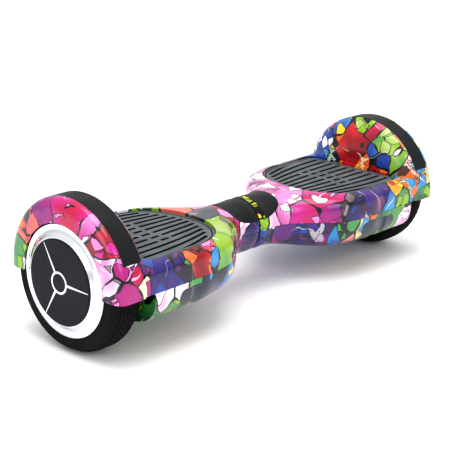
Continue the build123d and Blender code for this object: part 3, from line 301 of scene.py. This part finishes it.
def effect_group(name, takes, gives):
    """An empty node group with named inputs and outputs; returns it, its inputs and its outputs."""
    group = bpy.data.node_groups.new(name, "ShaderNodeTree")
    for socket_name, kind, value in takes:
        socket = group.interface.new_socket(
            socket_name, in_out="INPUT", socket_type="NodeSocket" + kind
        )
        socket.default_value = value
    for socket_name, kind in gives:
        group.interface.new_socket(socket_name, in_out="OUTPUT", socket_type="NodeSocket" + kind)
    entry = group.nodes.new("NodeGroupInput")
    way_out = group.nodes.new("NodeGroupOutput")
    return group, entry.outputs, way_out.inputs


def placed(tree, group, **values):
    """A shared effect placed in a material; values set its inputs, with _ for a space."""
    made = node(tree, "Group")
    made.node_tree = group
    for name, value in values.items():
        feed(tree, made.inputs[name.replace("_", " ").title()], value)
    return made.outputs


# ---------------------------------------------------------------- shared effects


def make_hand_sway():
    """A place on the piece, swayed as if the print had been drawn freehand."""
    takes = (
        ("Broad Sway", "Float", 0.022),
        ("Fine Sway", "Float", 0.005),
        ("Offset", "Vector", (0.0, 0.0, 0.0)),
    )
    gives = (("Place", "Vector"),)
    group, taken, given = effect_group("hand sway", takes, gives)
    here = object_place(group)
    place = here
    for scale, amount in ((22.0, taken["Broad Sway"]), (75.0, taken["Fine Sway"])):
        start = arrows(group, "ADD", here, taken["Offset"])
        swirl = node(
            group, "TexNoise", {"Vector": start, "Scale": scale, "Detail": 1.0}
        ).outputs["Color"]
        swirl = arrows(group, "SUBTRACT", swirl, (0.5, 0.5, 0.5))
        step = node(group, "VectorMath", {0: swirl, "Scale": amount}, operation="SCALE").outputs[0]
        place = arrows(group, "ADD", place, step)
    feed(group, given["Place"], place)
    return group


def make_area_step():
    """An area's claim on a place: keeps the best claim, the runner-up and the winner's look."""
    takes = (
        ("Place", "Vector", (0.0, 0.0, 0.0)),
        ("Middle", "Vector", (0.0, 0.0, 0.0)),
        ("Reach", "Float", 0.03),
        ("This Look", "Float", 0.0),
        ("Best", "Float", 50.0),
        ("Runner Up", "Float", 60.0),
        ("Look", "Float", 0.0),
    )
    gives = (("Best", "Float"), ("Runner Up", "Float"), ("Look", "Float"))
    group, taken, given = effect_group("area step", takes, gives)
    away = arrows(group, "SUBTRACT", taken["Place"], taken["Middle"])
    distance = arrows(group, "LENGTH", away, result="Value")
    claim = sums(group, "SUBTRACT", distance, taken["Reach"])
    closer = sums(group, "LESS_THAN", claim, taken["Best"])
    loser = sums(group, "MAXIMUM", claim, taken["Best"])
    change = sums(group, "SUBTRACT", taken["This Look"], taken["Look"])
    feed(group, given["Best"], sums(group, "MINIMUM", claim, taken["Best"]))
    feed(group, given["Runner Up"], sums(group, "MINIMUM", loser, taken["Runner Up"]))
    feed(group, given["Look"], sums(group, "MULTIPLY_ADD", change, closer, taken["Look"]))
    return group


def make_small_shapes():
    """Small outlined shapes in an area: a mask, a pick of two colours, and their black line."""
    takes = (
        ("Place", "Vector", (0.0, 0.0, 0.0)),
        ("Shapes Per Metre", "Float", 60.0),
        ("Busy", "Float", 0.3),
        ("Line Width", "Float", 0.0006),
    )
    gives = (("Shape", "Float"), ("Pick", "Float"), ("Line", "Float"))
    group, taken, given = effect_group("small shapes", takes, gives)
    feeds = {"Vector": taken["Place"], "Scale": taken["Shapes Per Metre"]}
    cells = node(group, "TexVoronoi", feeds)
    picks = node(group, "SeparateColor", {"Color": cells.outputs["Color"]}).outputs
    edges = node(group, "TexVoronoi", feeds, feature="DISTANCE_TO_EDGE")
    gap = sums(group, "DIVIDE", edges.outputs["Distance"], taken["Shapes Per Metre"])
    margin = sums(group, "MULTIPLY", taken["Line Width"], 2.2)
    chosen = sums(group, "LESS_THAN", picks["Red"], taken["Busy"])
    inside = sums(group, "GREATER_THAN", gap, margin)
    past_line = sums(group, "GREATER_THAN", gap, taken["Line Width"])
    shape = sums(group, "MULTIPLY", chosen, inside)
    line = sums(group, "MULTIPLY", chosen, sums(group, "SUBTRACT", past_line, inside))
    feed(group, given["Shape"], shape)
    feed(group, given["Pick"], picks["Green"])
    feed(group, given["Line"], line)
    return group


def make_brush_strokes():
    """Thin wandering strokes that swell and fade, and the slow airbrushed change of a colour."""
    takes = (
        ("Place", "Vector", (0.0, 0.0, 0.0)),
        ("Strokes Per Metre", "Float", 30.0),
        ("Stroke Width", "Float", 0.02),
    )
    gives = (("Stroke", "Float"), ("Airbrush", "Float"))
    group, taken, given = effect_group("brush strokes", takes, gives)
    wander = noise(group, taken["Place"], taken["Strokes Per Metre"], 0.0)
    off_middle = sums(group, "ABSOLUTE", sums(group, "SUBTRACT", wander, 0.5))
    swell = band(group, noise(group, taken["Place"], 38.0, 0.0), 0.5, 0.7, 0.0, 1.0)
    width = sums(group, "MULTIPLY", taken["Stroke Width"], swell)
    feed(group, given["Stroke"], sums(group, "LESS_THAN", off_middle, width))
    feed(group, given["Airbrush"], band(group, noise(group, taken["Place"], 26.0, 1.0), 0.36, 0.66))
    return group


def make_moulded_grain():
    """The fine even grain of moulded plastic and rubber, with slow changes of gloss."""
    takes = (("Grains Per Metre", "Float", 2500.0), ("Gloss Change", "Float", 0.08))
    gives = (("Height", "Float"), ("Gloss Shift", "Float"))
    group, taken, given = effect_group("moulded grain", takes, gives)
    here = object_place(group)
    fine = noise(group, here, taken["Grains Per Metre"], 2.0)
    slow = band(group, noise(group, here, 25.0, 3.0), 0.3, 0.7, -1.0, 1.0)
    feed(group, given["Height"], fine)
    feed(group, given["Gloss Shift"], sums(group, "MULTIPLY", slow, taken["Gloss Change"]))
    return group


def make_handled_wear():
    """Dust in the upper faces and thin scuffs, laid over a colour and a roughness."""
    takes = (
        ("Colour", "Color", (0.5, 0.5, 0.5, 1.0)),
        ("Roughness", "Float", 0.5),
        ("Dust", "Float", 0.05),
        ("Scuffs", "Float", 0.1),
    )
    gives = (("Colour", "Color"), ("Roughness", "Float"))
    group, taken, given = effect_group("handled wear", takes, gives)
    here = object_place(group)
    facing = node(group, "NewGeometry").outputs["Normal"]
    upward = node(group, "SeparateXYZ", {0: facing}).outputs["Z"]
    upward = band(group, upward, 0.2, 1.0)
    cloud = band(group, noise(group, here, 30.0, 4.0), 0.45, 0.75)
    dust = sums(group, "MULTIPLY", sums(group, "MULTIPLY", upward, cloud), taken["Dust"])
    stretched = arrows(group, "MULTIPLY", here, (1.0, 9.0, 5.0))
    scuff = band(group, noise(group, stretched, 160.0, 5.0, 0.7), 0.66, 0.72)
    scuff = sums(group, "MULTIPLY", scuff, taken["Scuffs"])
    dusty = blended(group, dust, taken["Colour"], paint("b8b2a8"))
    scuffed = blended(group, scuff, dusty, paint("c8c8cc"))
    dull = sums(group, "ADD", taken["Roughness"], sums(group, "MULTIPLY", dust, 0.6))
    dull = sums(group, "ADD", dull, sums(group, "MULTIPLY", scuff, 0.4))
    feed(group, given["Colour"], scuffed)
    feed(group, given["Roughness"], dull)
    return group


def make_turned_marks():
    """Fine tool marks round an axle line along X, with a hazy polishing smear that on the polished
    rim also places painted shade.
    """
    takes = (("Marks Per Metre", "Float", 1800.0), ("Axle Height", "Float", 0.084))
    gives = (("Height", "Float"), ("Haze", "Float"))
    group, taken, given = effect_group("turned marks", takes, gives)
    axes = node(group, "SeparateXYZ", {0: object_place(group)}).outputs
    drop = sums(group, "SUBTRACT", axes["Z"], taken["Axle Height"])
    across = sums(group, "POWER", axes["Y"], 2.0)
    radius = sums(group, "SQRT", sums(group, "ADD", across, sums(group, "POWER", drop, 2.0)))
    ring_place = node(group, "CombineXYZ", {0: axes["X"], 1: radius}).outputs[0]
    marks = noise(group, ring_place, taken["Marks Per Metre"], 2.0)
    feed(group, given["Height"], marks)
    feed(group, given["Haze"], noise(group, object_place(group), 40.0, 3.0))
    return group


HAND_SWAY = make_hand_sway()
AREA_STEP = make_area_step()
SMALL_SHAPES = make_small_shapes()
BRUSH_STROKES = make_brush_strokes()
MOULDED_GRAIN = make_moulded_grain()
HANDLED_WEAR = make_handled_wear()
TURNED_MARKS = make_turned_marks()

# ---------------------------------------------------------------- finishes


def finish(name):
    """A new material with its node tree and its Principled shader."""
    material = bpy.data.materials.new(name)
    material.use_nodes = True
    tree = material.node_tree
    return material, tree, tree.nodes["Principled BSDF"]


def bump(tree, shader, height, depth, strength=1.0):
    """Gives the shader a bumped normal; depth is in metres."""
    raised = node(tree, "Bump", {"Height": height, "Distance": depth, "Strength": strength})
    tree.links.new(raised.outputs["Normal"], shader.inputs["Normal"])


def look_place(name):
    """Where a look stands on the ramps that hold one step for each look."""
    return (LOOK_NAMES.index(name) + 0.5) / len(LOOK_NAMES)


def look_ramp(tree, look, part):
    """A stepped ramp for one part of the look: 0 to 3 are its colours, 4 is how busy it is."""
    stops = []
    for place, name in enumerate(LOOK_NAMES):
        value = LOOKS[name][part]
        colour = (value, value, value, 1.0) if part == 4 else value
        stops.append((place / len(LOOK_NAMES), colour))
    return ramp(tree, look, stops, "CONSTANT")


def area_look(tree, areas, place):
    """The look of the area that claims a place, and how many metres the next claim is behind."""
    so_far = {}
    for name, middle, reach in areas:
        facts = {"place": place, "middle": middle, "reach": reach, "this_look": look_place(name)}
        step = placed(tree, AREA_STEP, **facts, **so_far)
        so_far = {"best": step["Best"], "runner_up": step["Runner Up"], "look": step["Look"]}
    return so_far["look"], sums(tree, "SUBTRACT", so_far["runner_up"], so_far["best"])


def printed_gloss(name, areas, offset):
    """Gloss ABS with a bright freehand printed pattern under a clear lacquer."""
    material, tree, shader = finish(name)
    here = object_place(tree)
    swayed = placed(tree, HAND_SWAY, offset=offset)["Place"]
    look, lead = area_look(tree, areas, swayed)
    main, deep, first, second, busy = [look_ramp(tree, look, part) for part in range(5)]
    shapes = placed(tree, SMALL_SHAPES, place=swayed, busy=busy)
    strokes = placed(tree, BRUSH_STROKES, place=swayed)
    colour = blended(tree, strokes["Airbrush"], main, deep)
    fill = blended(tree, sums(tree, "GREATER_THAN", shapes["Pick"], 0.5), first, second)
    colour = blended(tree, shapes["Shape"], colour, fill)
    colour = blended(tree, strokes["Stroke"], colour, blended(tree, 0.5, WHITE, first))
    swell = band(tree, noise(tree, here, 55.0, 1.0), 0.35, 0.65, 0.0006, 0.0026)
    outline = sums(tree, "LESS_THAN", lead, swell)
    colour = blended(tree, sums(tree, "MAXIMUM", outline, shapes["Line"]), colour, BLACK)
    worn = placed(tree, HANDLED_WEAR, colour=colour, roughness=0.26, dust=0.04, scuffs=0.04)
    grain = placed(tree, MOULDED_GRAIN, grains_per_metre=700.0, gloss_change=0.04)
    feed(tree, shader.inputs["Base Color"], worn["Colour"])
    feed(
        tree,
        shader.inputs["Roughness"],
        sums(tree, "ADD", worn["Roughness"], grain["Gloss Shift"]),
    )
    shader.inputs["Coat Weight"].default_value = 0.5
    shader.inputs["Coat Roughness"].default_value = 0.06
    bump(tree, shader, grain["Height"], 0.00002)
    return material


def wear_moulding(tree, shader, colour, roughness, grains, dust, scuffs, depth):
    """Ends a moulded finish: the grain, the dust and scuffs over its colour, and a low shine."""
    grain = placed(tree, MOULDED_GRAIN, grains_per_metre=grains, gloss_change=0.07)
    dull = sums(tree, "ADD", grain["Gloss Shift"], roughness)
    worn = placed(tree, HANDLED_WEAR, colour=colour, roughness=dull, dust=dust, scuffs=scuffs)
    feed(tree, shader.inputs["Base Color"], worn["Colour"])
    feed(tree, shader.inputs["Roughness"], worn["Roughness"])
    shader.inputs["Specular IOR Level"].default_value = 0.3
    bump(tree, shader, grain["Height"], depth)


def strip_beside_seam(name, offset, strip_end):
    """Satin charcoal plastic whose end beside the seam carries a strip of the print."""
    material, tree, shader = finish(name)
    here = object_place(tree)
    swayed = placed(tree, HAND_SWAY, offset=offset)["Place"]
    shapes = placed(
        tree,
        SMALL_SHAPES,
        place=swayed,
        shapes_per_metre=95.0,
        busy=0.55,
        line_width=0.0005,
    )
    fill = blended(tree, sums(tree, "GREATER_THAN", shapes["Pick"], 0.4), YELLOW, LIME)
    strip = blended(tree, shapes["Shape"], BLACK, fill)
    across = node(tree, "SeparateXYZ", {0: here}).outputs["X"]
    on_strip = sums(tree, "LESS_THAN", across, strip_end)
    cloud = band(tree, noise(tree, here, 18.0, 4.0), 0.3, 0.7, 0.0, 0.25)
    plain = blended(tree, cloud, paint("1c1e20"), paint("2a2d30"))
    colour = blended(tree, on_strip, plain, strip)
    wear_moulding(tree, shader, colour, 0.36, 2500.0, 0.02, 0.04, 0.00003)
    return material


def moulded(
    name,
    code,
    roughness,
    depth=0.00003,
    grains=2500.0,
    dust=0.08,
    scuffs=0.1,
    tint="505458",
):
    """Moulded plastic or rubber: a fine grain, slow changes of shade, a little dust and scuffs."""
    material, tree, shader = finish(name)
    cloud = band(tree, noise(tree, object_place(tree), 18.0, 4.0), 0.3, 0.7, 0.0, 0.25)
    colour = blended(tree, cloud, paint(code), paint(tint))
    wear_moulding(tree, shader, colour, roughness, grains, dust, scuffs, depth)
    return material


def metal(name, code, roughness, marks=1800.0, depth=0.00001, shade="909498"):
    """Metal with fine tool marks and a hazy smear that dulls it unevenly and mixes its colour
    toward the shade colour; on the polished rim that grey mix is painted shade.
    """
    material, tree, shader = finish(name)
    turned = placed(tree, TURNED_MARKS, marks_per_metre=marks)
    # The smear greys the colour toward the shade colour; on the polished rim this grey is painted
    # shade in place of dark reflections.
    haze_and_rim_shade = band(tree, turned["Haze"], 0.35, 0.75, 0.0, 0.35)
    colour = blended(tree, haze_and_rim_shade, paint(code), paint(shade))
    dull = band(tree, turned["Haze"], 0.3, 0.8, roughness, roughness + 0.12)
    worn = placed(tree, HANDLED_WEAR, colour=colour, roughness=dull, dust=0.03, scuffs=0.06)
    feed(tree, shader.inputs["Base Color"], worn["Colour"])
    feed(tree, shader.inputs["Roughness"], worn["Roughness"])
    shader.inputs["Metallic"].default_value = 1.0
    bump(tree, shader, turned["Height"], depth)
    return material


def ribbed_rubber(name, top_height):
    """Foot mat rubber: grey rib tops, with everything below them painted near black as painted
    shade in the grooves.
    """
    material, tree, shader = finish(name)
    here = object_place(tree)
    height = node(tree, "SeparateXYZ", {0: here}).outputs["Z"]
    on_top = band(tree, height, top_height - 0.0003, top_height - 0.0001)
    cloud = band(tree, noise(tree, here, 45.0, 5.0), 0.3, 0.75)
    rib = blended(tree, cloud, paint("5c6266"), paint("6c7276"))
    # Below the rib tops the rubber takes near-black 060607: painted shade on the groove floors and
    # walls.
    colour = blended(tree, on_top, paint("060607"), rib)
    grain = placed(tree, MOULDED_GRAIN, grains_per_metre=1500.0, gloss_change=0.06)
    dull = sums(tree, "ADD", grain["Gloss Shift"], 0.58)
    worn = placed(tree, HANDLED_WEAR, colour=colour, roughness=dull, dust=0.06, scuffs=0.08)
    feed(tree, shader.inputs["Base Color"], worn["Colour"])
    feed(tree, shader.inputs["Roughness"], worn["Roughness"])
    shader.inputs["Specular IOR Level"].default_value = 0.3
    bump(tree, shader, grain["Height"], 0.00008)
    return material


def smoked_lens(name):
    """Dark smoked lens with fine upright prisms moulded behind its face."""
    material, tree, shader = finish(name)
    here = object_place(tree)
    prisms = node(tree, "TexWave", {"Vector": here, "Scale": 95.0, "Distortion": 0.0})
    prisms.bands_direction = "X"
    glow = band(tree, noise(tree, here, 50.0, 2.0), 0.3, 0.7)
    colour = blended(tree, glow, paint("1c2238"), paint("2c3648"))
    faint_prisms = sums(tree, "MULTIPLY", prisms.outputs["Fac"], 0.12)
    colour = blended(tree, faint_prisms, colour, paint("4a566c"))
    worn = placed(tree, HANDLED_WEAR, colour=colour, roughness=0.18, dust=0.04, scuffs=0.05)
    feed(tree, shader.inputs["Base Color"], worn["Colour"])
    feed(tree, shader.inputs["Roughness"], worn["Roughness"])
    shader.inputs["Coat Weight"].default_value = 0.5
    shader.inputs["Coat Roughness"].default_value = 0.05
    bump(tree, shader, prisms.outputs["Fac"], 0.00015)
    return material


def assign(node_name, material):
    """Gives a carried-over piece its finish, in all of its slots."""
    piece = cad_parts[node_name]
    if not piece.data.materials:
        piece.data.materials.append(material)
    for place in range(len(piece.material_slots)):
        piece.material_slots[place].material = material


FINISHES = {
    "fender_trim": moulded(
        "satin charcoal trim",
        "1c1e20",
        0.46,
        dust=0.02,
        scuffs=0.04,
        tint="25282b",
    ),
    "neck_panel": moulded("satin neck panel", "1c1e20", 0.4, dust=0.02, scuffs=0.04, tint="2a2d30"),
    "light_lens": smoked_lens("smoked light lens"),
    "light_board": moulded("green light board", "1d5c38", 0.5, tint="2a7048"),
    "chassis": metal("cast frame metal", "a8acb0", 0.42, 600.0, 0.00004),
    "axle_clamp": metal("axle clamp metal", "9a9ea4", 0.38, 700.0),
    "clamp_screws": metal("black oxide screws", "3c3e42", 0.35, shade="2a2c30"),
    "cover_screws": metal("cover screws", "46484c", 0.32, shade="303236"),
    "sensor_board": moulded("green sensor board", "1d5c38", 0.5, tint="2a7048"),
    "axle": metal("ground axle steel", "c4c6ca", 0.25),
    "stator": metal("stator copper and iron", "b06a3c", 0.4, shade="6a6e74"),
    "motor_cable": moulded("black motor lead", "141518", 0.5),
    "tyre": moulded(
        "black tyre rubber",
        "0b0b0c",
        0.68,
        0.00008,
        1200.0,
        dust=0.03,
        scuffs=0.04,
        tint="141416",
    ),
    # The grey mix toward cdd1d6 on the polished rim is painted shade, standing in for dark
    # reflections on its face.
    "rim": metal("polished rim face with painted shade", "eef0f3", 0.16, depth=0.000002, shade="cdd1d6"),
    "rim_cover": metal("rim side plate", "d0d2d6", 0.25),
    "magnet_ring": metal("nickel magnets", "a4a6a8", 0.3),
    "hub_disc": moulded(
        "hub disc lacquer",
        "14171e",
        0.4,
        0.00001,
        dust=0.02,
        scuffs=0.03,
        tint="191d26",
    ),
    "hub_spider": metal("bright hub spokes", "e8eaec", 0.22, shade="d8dade"),
    "wheel_bearings": metal("bearing steel", "b8bcc0", 0.22),
    "rim_screws": metal("rim screws", "8a8e92", 0.3),
    "foot_mat": ribbed_rubber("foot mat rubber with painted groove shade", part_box("left_foot_mat")[1].z),
    "pad_plungers": moulded("plunger nylon", "d8d4c8", 0.5),
    "pivot_shaft": metal("pivot shaft steel", "b4b8bc", 0.3),
    "pivot_bushes": moulded("bush bronze nylon", "8a6a3c", 0.5),
    "pivot_circlip": metal("circlip spring steel", "3c3e42", 0.35, shade="2a2c30"),
    "stop_pin": metal("stop pin steel", "b4b8bc", 0.3),
    "seam_ring": moulded("seam ring rubber", "0c0d0f", 0.5, tint="18191c"),
    "link_cable": moulded("black link lead", "141518", 0.5),
    "battery_pack": moulded("blue battery wrap", "1c4c94", 0.35, tint="2860b0"),
    "battery_strap": moulded("battery strap webbing", "1c1e22", 0.8, 0.0002, 900.0),
    "main_board": moulded("green main board", "1d5c38", 0.5, tint="2a7048"),
    "charge_socket": moulded("charge socket plastic", "141518", 0.4),
    "button_bezel": moulded("button bezel plastic", "1a1c20", 0.35),
    "power_button": moulded("power button plastic", "6c7074", 0.35, tint="85898d"),
}

COVERS = {
    "right_neck_panel": strip_beside_seam("satin neck panel with strip", (0.2, 0.0, 0.0), 0.0095),
    "left_top_cover": printed_gloss("left upper print", LEFT_TOP_AREAS, (0.0, 0.0, 0.0)),
    "left_bottom_cover": printed_gloss("left lower print", LEFT_BOTTOM_AREAS, (0.31, 0.0, 0.17)),
    "right_top_cover": printed_gloss("right upper print", RIGHT_TOP_AREAS, (0.7, 0.13, 0.0)),
    "right_bottom_cover": printed_gloss("right lower print", RIGHT_BOTTOM_AREAS, (0.0, 0.47, 0.9)),
}


def dress_carried_pieces():
    """Gives every piece of the frame its finish."""
    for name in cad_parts:
        if name in COVERS:
            assign(name, COVERS[name])
            continue
        plain = name
        for side in HAND_SIDES:
            if name.startswith(side):
                plain = name[len(side):]
        assign(name, FINISHES[plain])


# ---------------------------------------------------------------- tyres with a moulded tread

TREAD_STEPS = 240
TREAD_RIBS = 7
TREAD_DEPTH = 0.0011
TREAD_REACH = 0.4
CUT_DEPTH = TREAD_DEPTH * 0.8
CUT_EVERY = 4
POINTS_PER_SHIFT = 4
GROOVE_SHARE = 0.14
CROWN_FALL = 0.010
CROWN_SINK = 0.0004
BEAD_RADIUS = 0.0655
BEAD_HEIGHT = 0.011
SHOULDER_DROP = 0.006
SHOULDER_REACH = 0.478


def tyre_outline(outer, width):
    """The tyre's section as (place across, radius, whether the cross cuts reach it)."""
    bead_top = BEAD_RADIUS + BEAD_HEIGHT
    shoulder = outer - SHOULDER_DROP
    outline = [(-0.5, BEAD_RADIUS, 0.0), (-0.5, bead_top, 0.0), (-SHOULDER_REACH, shoulder, 0.0)]
    pitch = 2 * TREAD_REACH / TREAD_RIBS
    gap = pitch * GROOVE_SHARE
    for rib in range(TREAD_RIBS):
        start = rib * pitch - TREAD_REACH
        end = start + pitch
        places = [(start + gap, 0.0), (end - gap, 0.0)]
        if rib < TREAD_RIBS - 1:
            places += [(end - gap * 0.6, 1.0), (end + gap * 0.6, 1.0)]
        for share, sunk in places:
            crown = outer - CROWN_FALL * (share * 2) ** 4 - CROWN_SINK
            outline.append((share, crown - sunk * TREAD_DEPTH, 1.0 - sunk))
    outline += [(SHOULDER_REACH, shoulder, 0.0), (0.5, bead_top, 0.0), (0.5, BEAD_RADIUS, 0.0)]
    return [(share * width, radius, cut) for share, radius, cut in outline]


def mould_tyre(side):
    """A tyre with fine ribs round it and cross cuts that step from rib to rib."""
    low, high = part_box(side + "_tyre")
    middle = (low + high) / 2
    outer = (high.z - low.z) / 2
    outline = tyre_outline(outer, high.x - low.x)
    form = bmesh.new()
    rings = []
    for step in range(TREAD_STEPS):
        turn = 2 * math.pi * step / TREAD_STEPS
        ring = []
        for place, (across, radius, cut) in enumerate(outline):
            shift = place // POINTS_PER_SHIFT * 2
            in_cut = (step + shift) % CUT_EVERY == 0
            reach = radius - CUT_DEPTH if in_cut and cut else radius
            away = Vector((across, reach * math.cos(turn), reach * math.sin(turn)))
            ring.append(form.verts.new(middle + away))
        rings.append(ring)
    for step in range(TREAD_STEPS):
        here, following = rings[step], rings[(step + 1) % TREAD_STEPS]
        for place in range(len(outline)):
            after = (place + 1) % len(outline)
            form.faces.new((here[place], here[after], following[after], following[place]))
    bmesh.ops.recalc_face_normals(form, faces=form.faces)
    mesh = bpy.data.meshes.new(side + "_moulded_tyre")
    form.to_mesh(mesh)
    form.free()
    tyre = bpy.data.objects.new(side + "_moulded_tyre", mesh)
    bpy.context.scene.collection.objects.link(tyre)
    mesh.materials.append(FINISHES["tyre"])
    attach(tyre, side + "_wheel")
    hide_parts(side + "_tyre")


# ---------------------------------------------------------------- studio


def lay_floor():
    """A wide pale floor under the board."""
    mesh = bpy.data.meshes.new("studio_floor")
    form = bmesh.new()
    bmesh.ops.create_grid(form, x_segments=8, y_segments=8, size=6.0)
    form.to_mesh(mesh)
    form.free()
    floor = bpy.data.objects.new("studio_floor", mesh)
    bpy.context.scene.collection.objects.link(floor)
    material, tree, shader = finish("pale studio floor")
    speckle = noise(tree, object_place(tree), 3.0, 2.0)
    tone = blended(tree, speckle, paint("f4f4f5"), paint("fafafa"))
    feed(tree, shader.inputs["Base Color"], tone)
    shader.inputs["Roughness"].default_value = 0.7
    shader.inputs["Specular IOR Level"].default_value = 0.2
    mesh.materials.append(material)


def hang_light(name, place, aim, size, power):
    """A soft square studio light."""
    data = bpy.data.lights.new(name, "AREA")
    data.shape = "SQUARE"
    data.size = size
    data.energy = power
    light = bpy.data.objects.new(name, data)
    bpy.context.scene.collection.objects.link(light)
    light.location = place
    light.rotation_euler = (Vector(aim) - Vector(place)).to_track_quat("-Z", "Y").to_euler()


def light_studio():
    """White surroundings, slightly darker low down, and three soft lights."""
    world = bpy.data.worlds.new("studio surroundings")
    world.use_nodes = True
    bpy.context.scene.world = world
    tree = world.node_tree
    direction = node(tree, "TexCoord").outputs["Generated"]
    height = node(tree, "SeparateXYZ", {0: direction}).outputs["Z"]
    shades = ((0.0, paint("d8d8da")), (0.6, paint("ffffff")))
    shade = ramp(tree, band(tree, height, -0.3, 1.0), shades)
    feed(tree, tree.nodes["Background"].inputs["Color"], shade)
    tree.nodes["Background"].inputs["Strength"].default_value = 0.72
    middle = (0.0, 0.0, 0.08)
    hang_light("overhead softbox", (-0.3, -0.2, 2.2), middle, 1.6, 22.0)
    hang_light("front softbox", (-0.6, -2.4, 1.5), middle, 1.4, 12.0)
    hang_light("end softbox", (-2.4, -0.2, 1.3), middle, 1.2, 8.0)


def set_camera():
    """The camera looks down on the board from its front left, slightly rolled."""
    azimuth = math.radians(47.27)
    elevation = math.radians(18.57)
    roll = math.radians(1.05)
    aim = Vector((0.0, 0.026, 0.076))
    distance = 1.58
    flat = math.cos(elevation)
    forward = Vector((math.sin(azimuth) * flat, math.cos(azimuth) * flat, -math.sin(elevation)))
    data = bpy.data.cameras.new("studio camera")
    data.lens = 100.1
    camera = bpy.data.objects.new("studio camera", data)
    bpy.context.scene.collection.objects.link(camera)
    camera.location = aim - forward * distance
    camera.rotation_mode = "QUATERNION"
    camera.rotation_quaternion = forward.to_track_quat("-Z", "Y") @ Quaternion((0, 0, 1), roll)
    bpy.context.scene.camera = camera


bpy.context.scene.view_settings.view_transform = "Standard"
bpy.context.scene.view_settings.look = "High Contrast"
set_camera()
light_studio()
lay_floor()
dress_carried_pieces()
mould_tyre("left")
mould_tyre("right")
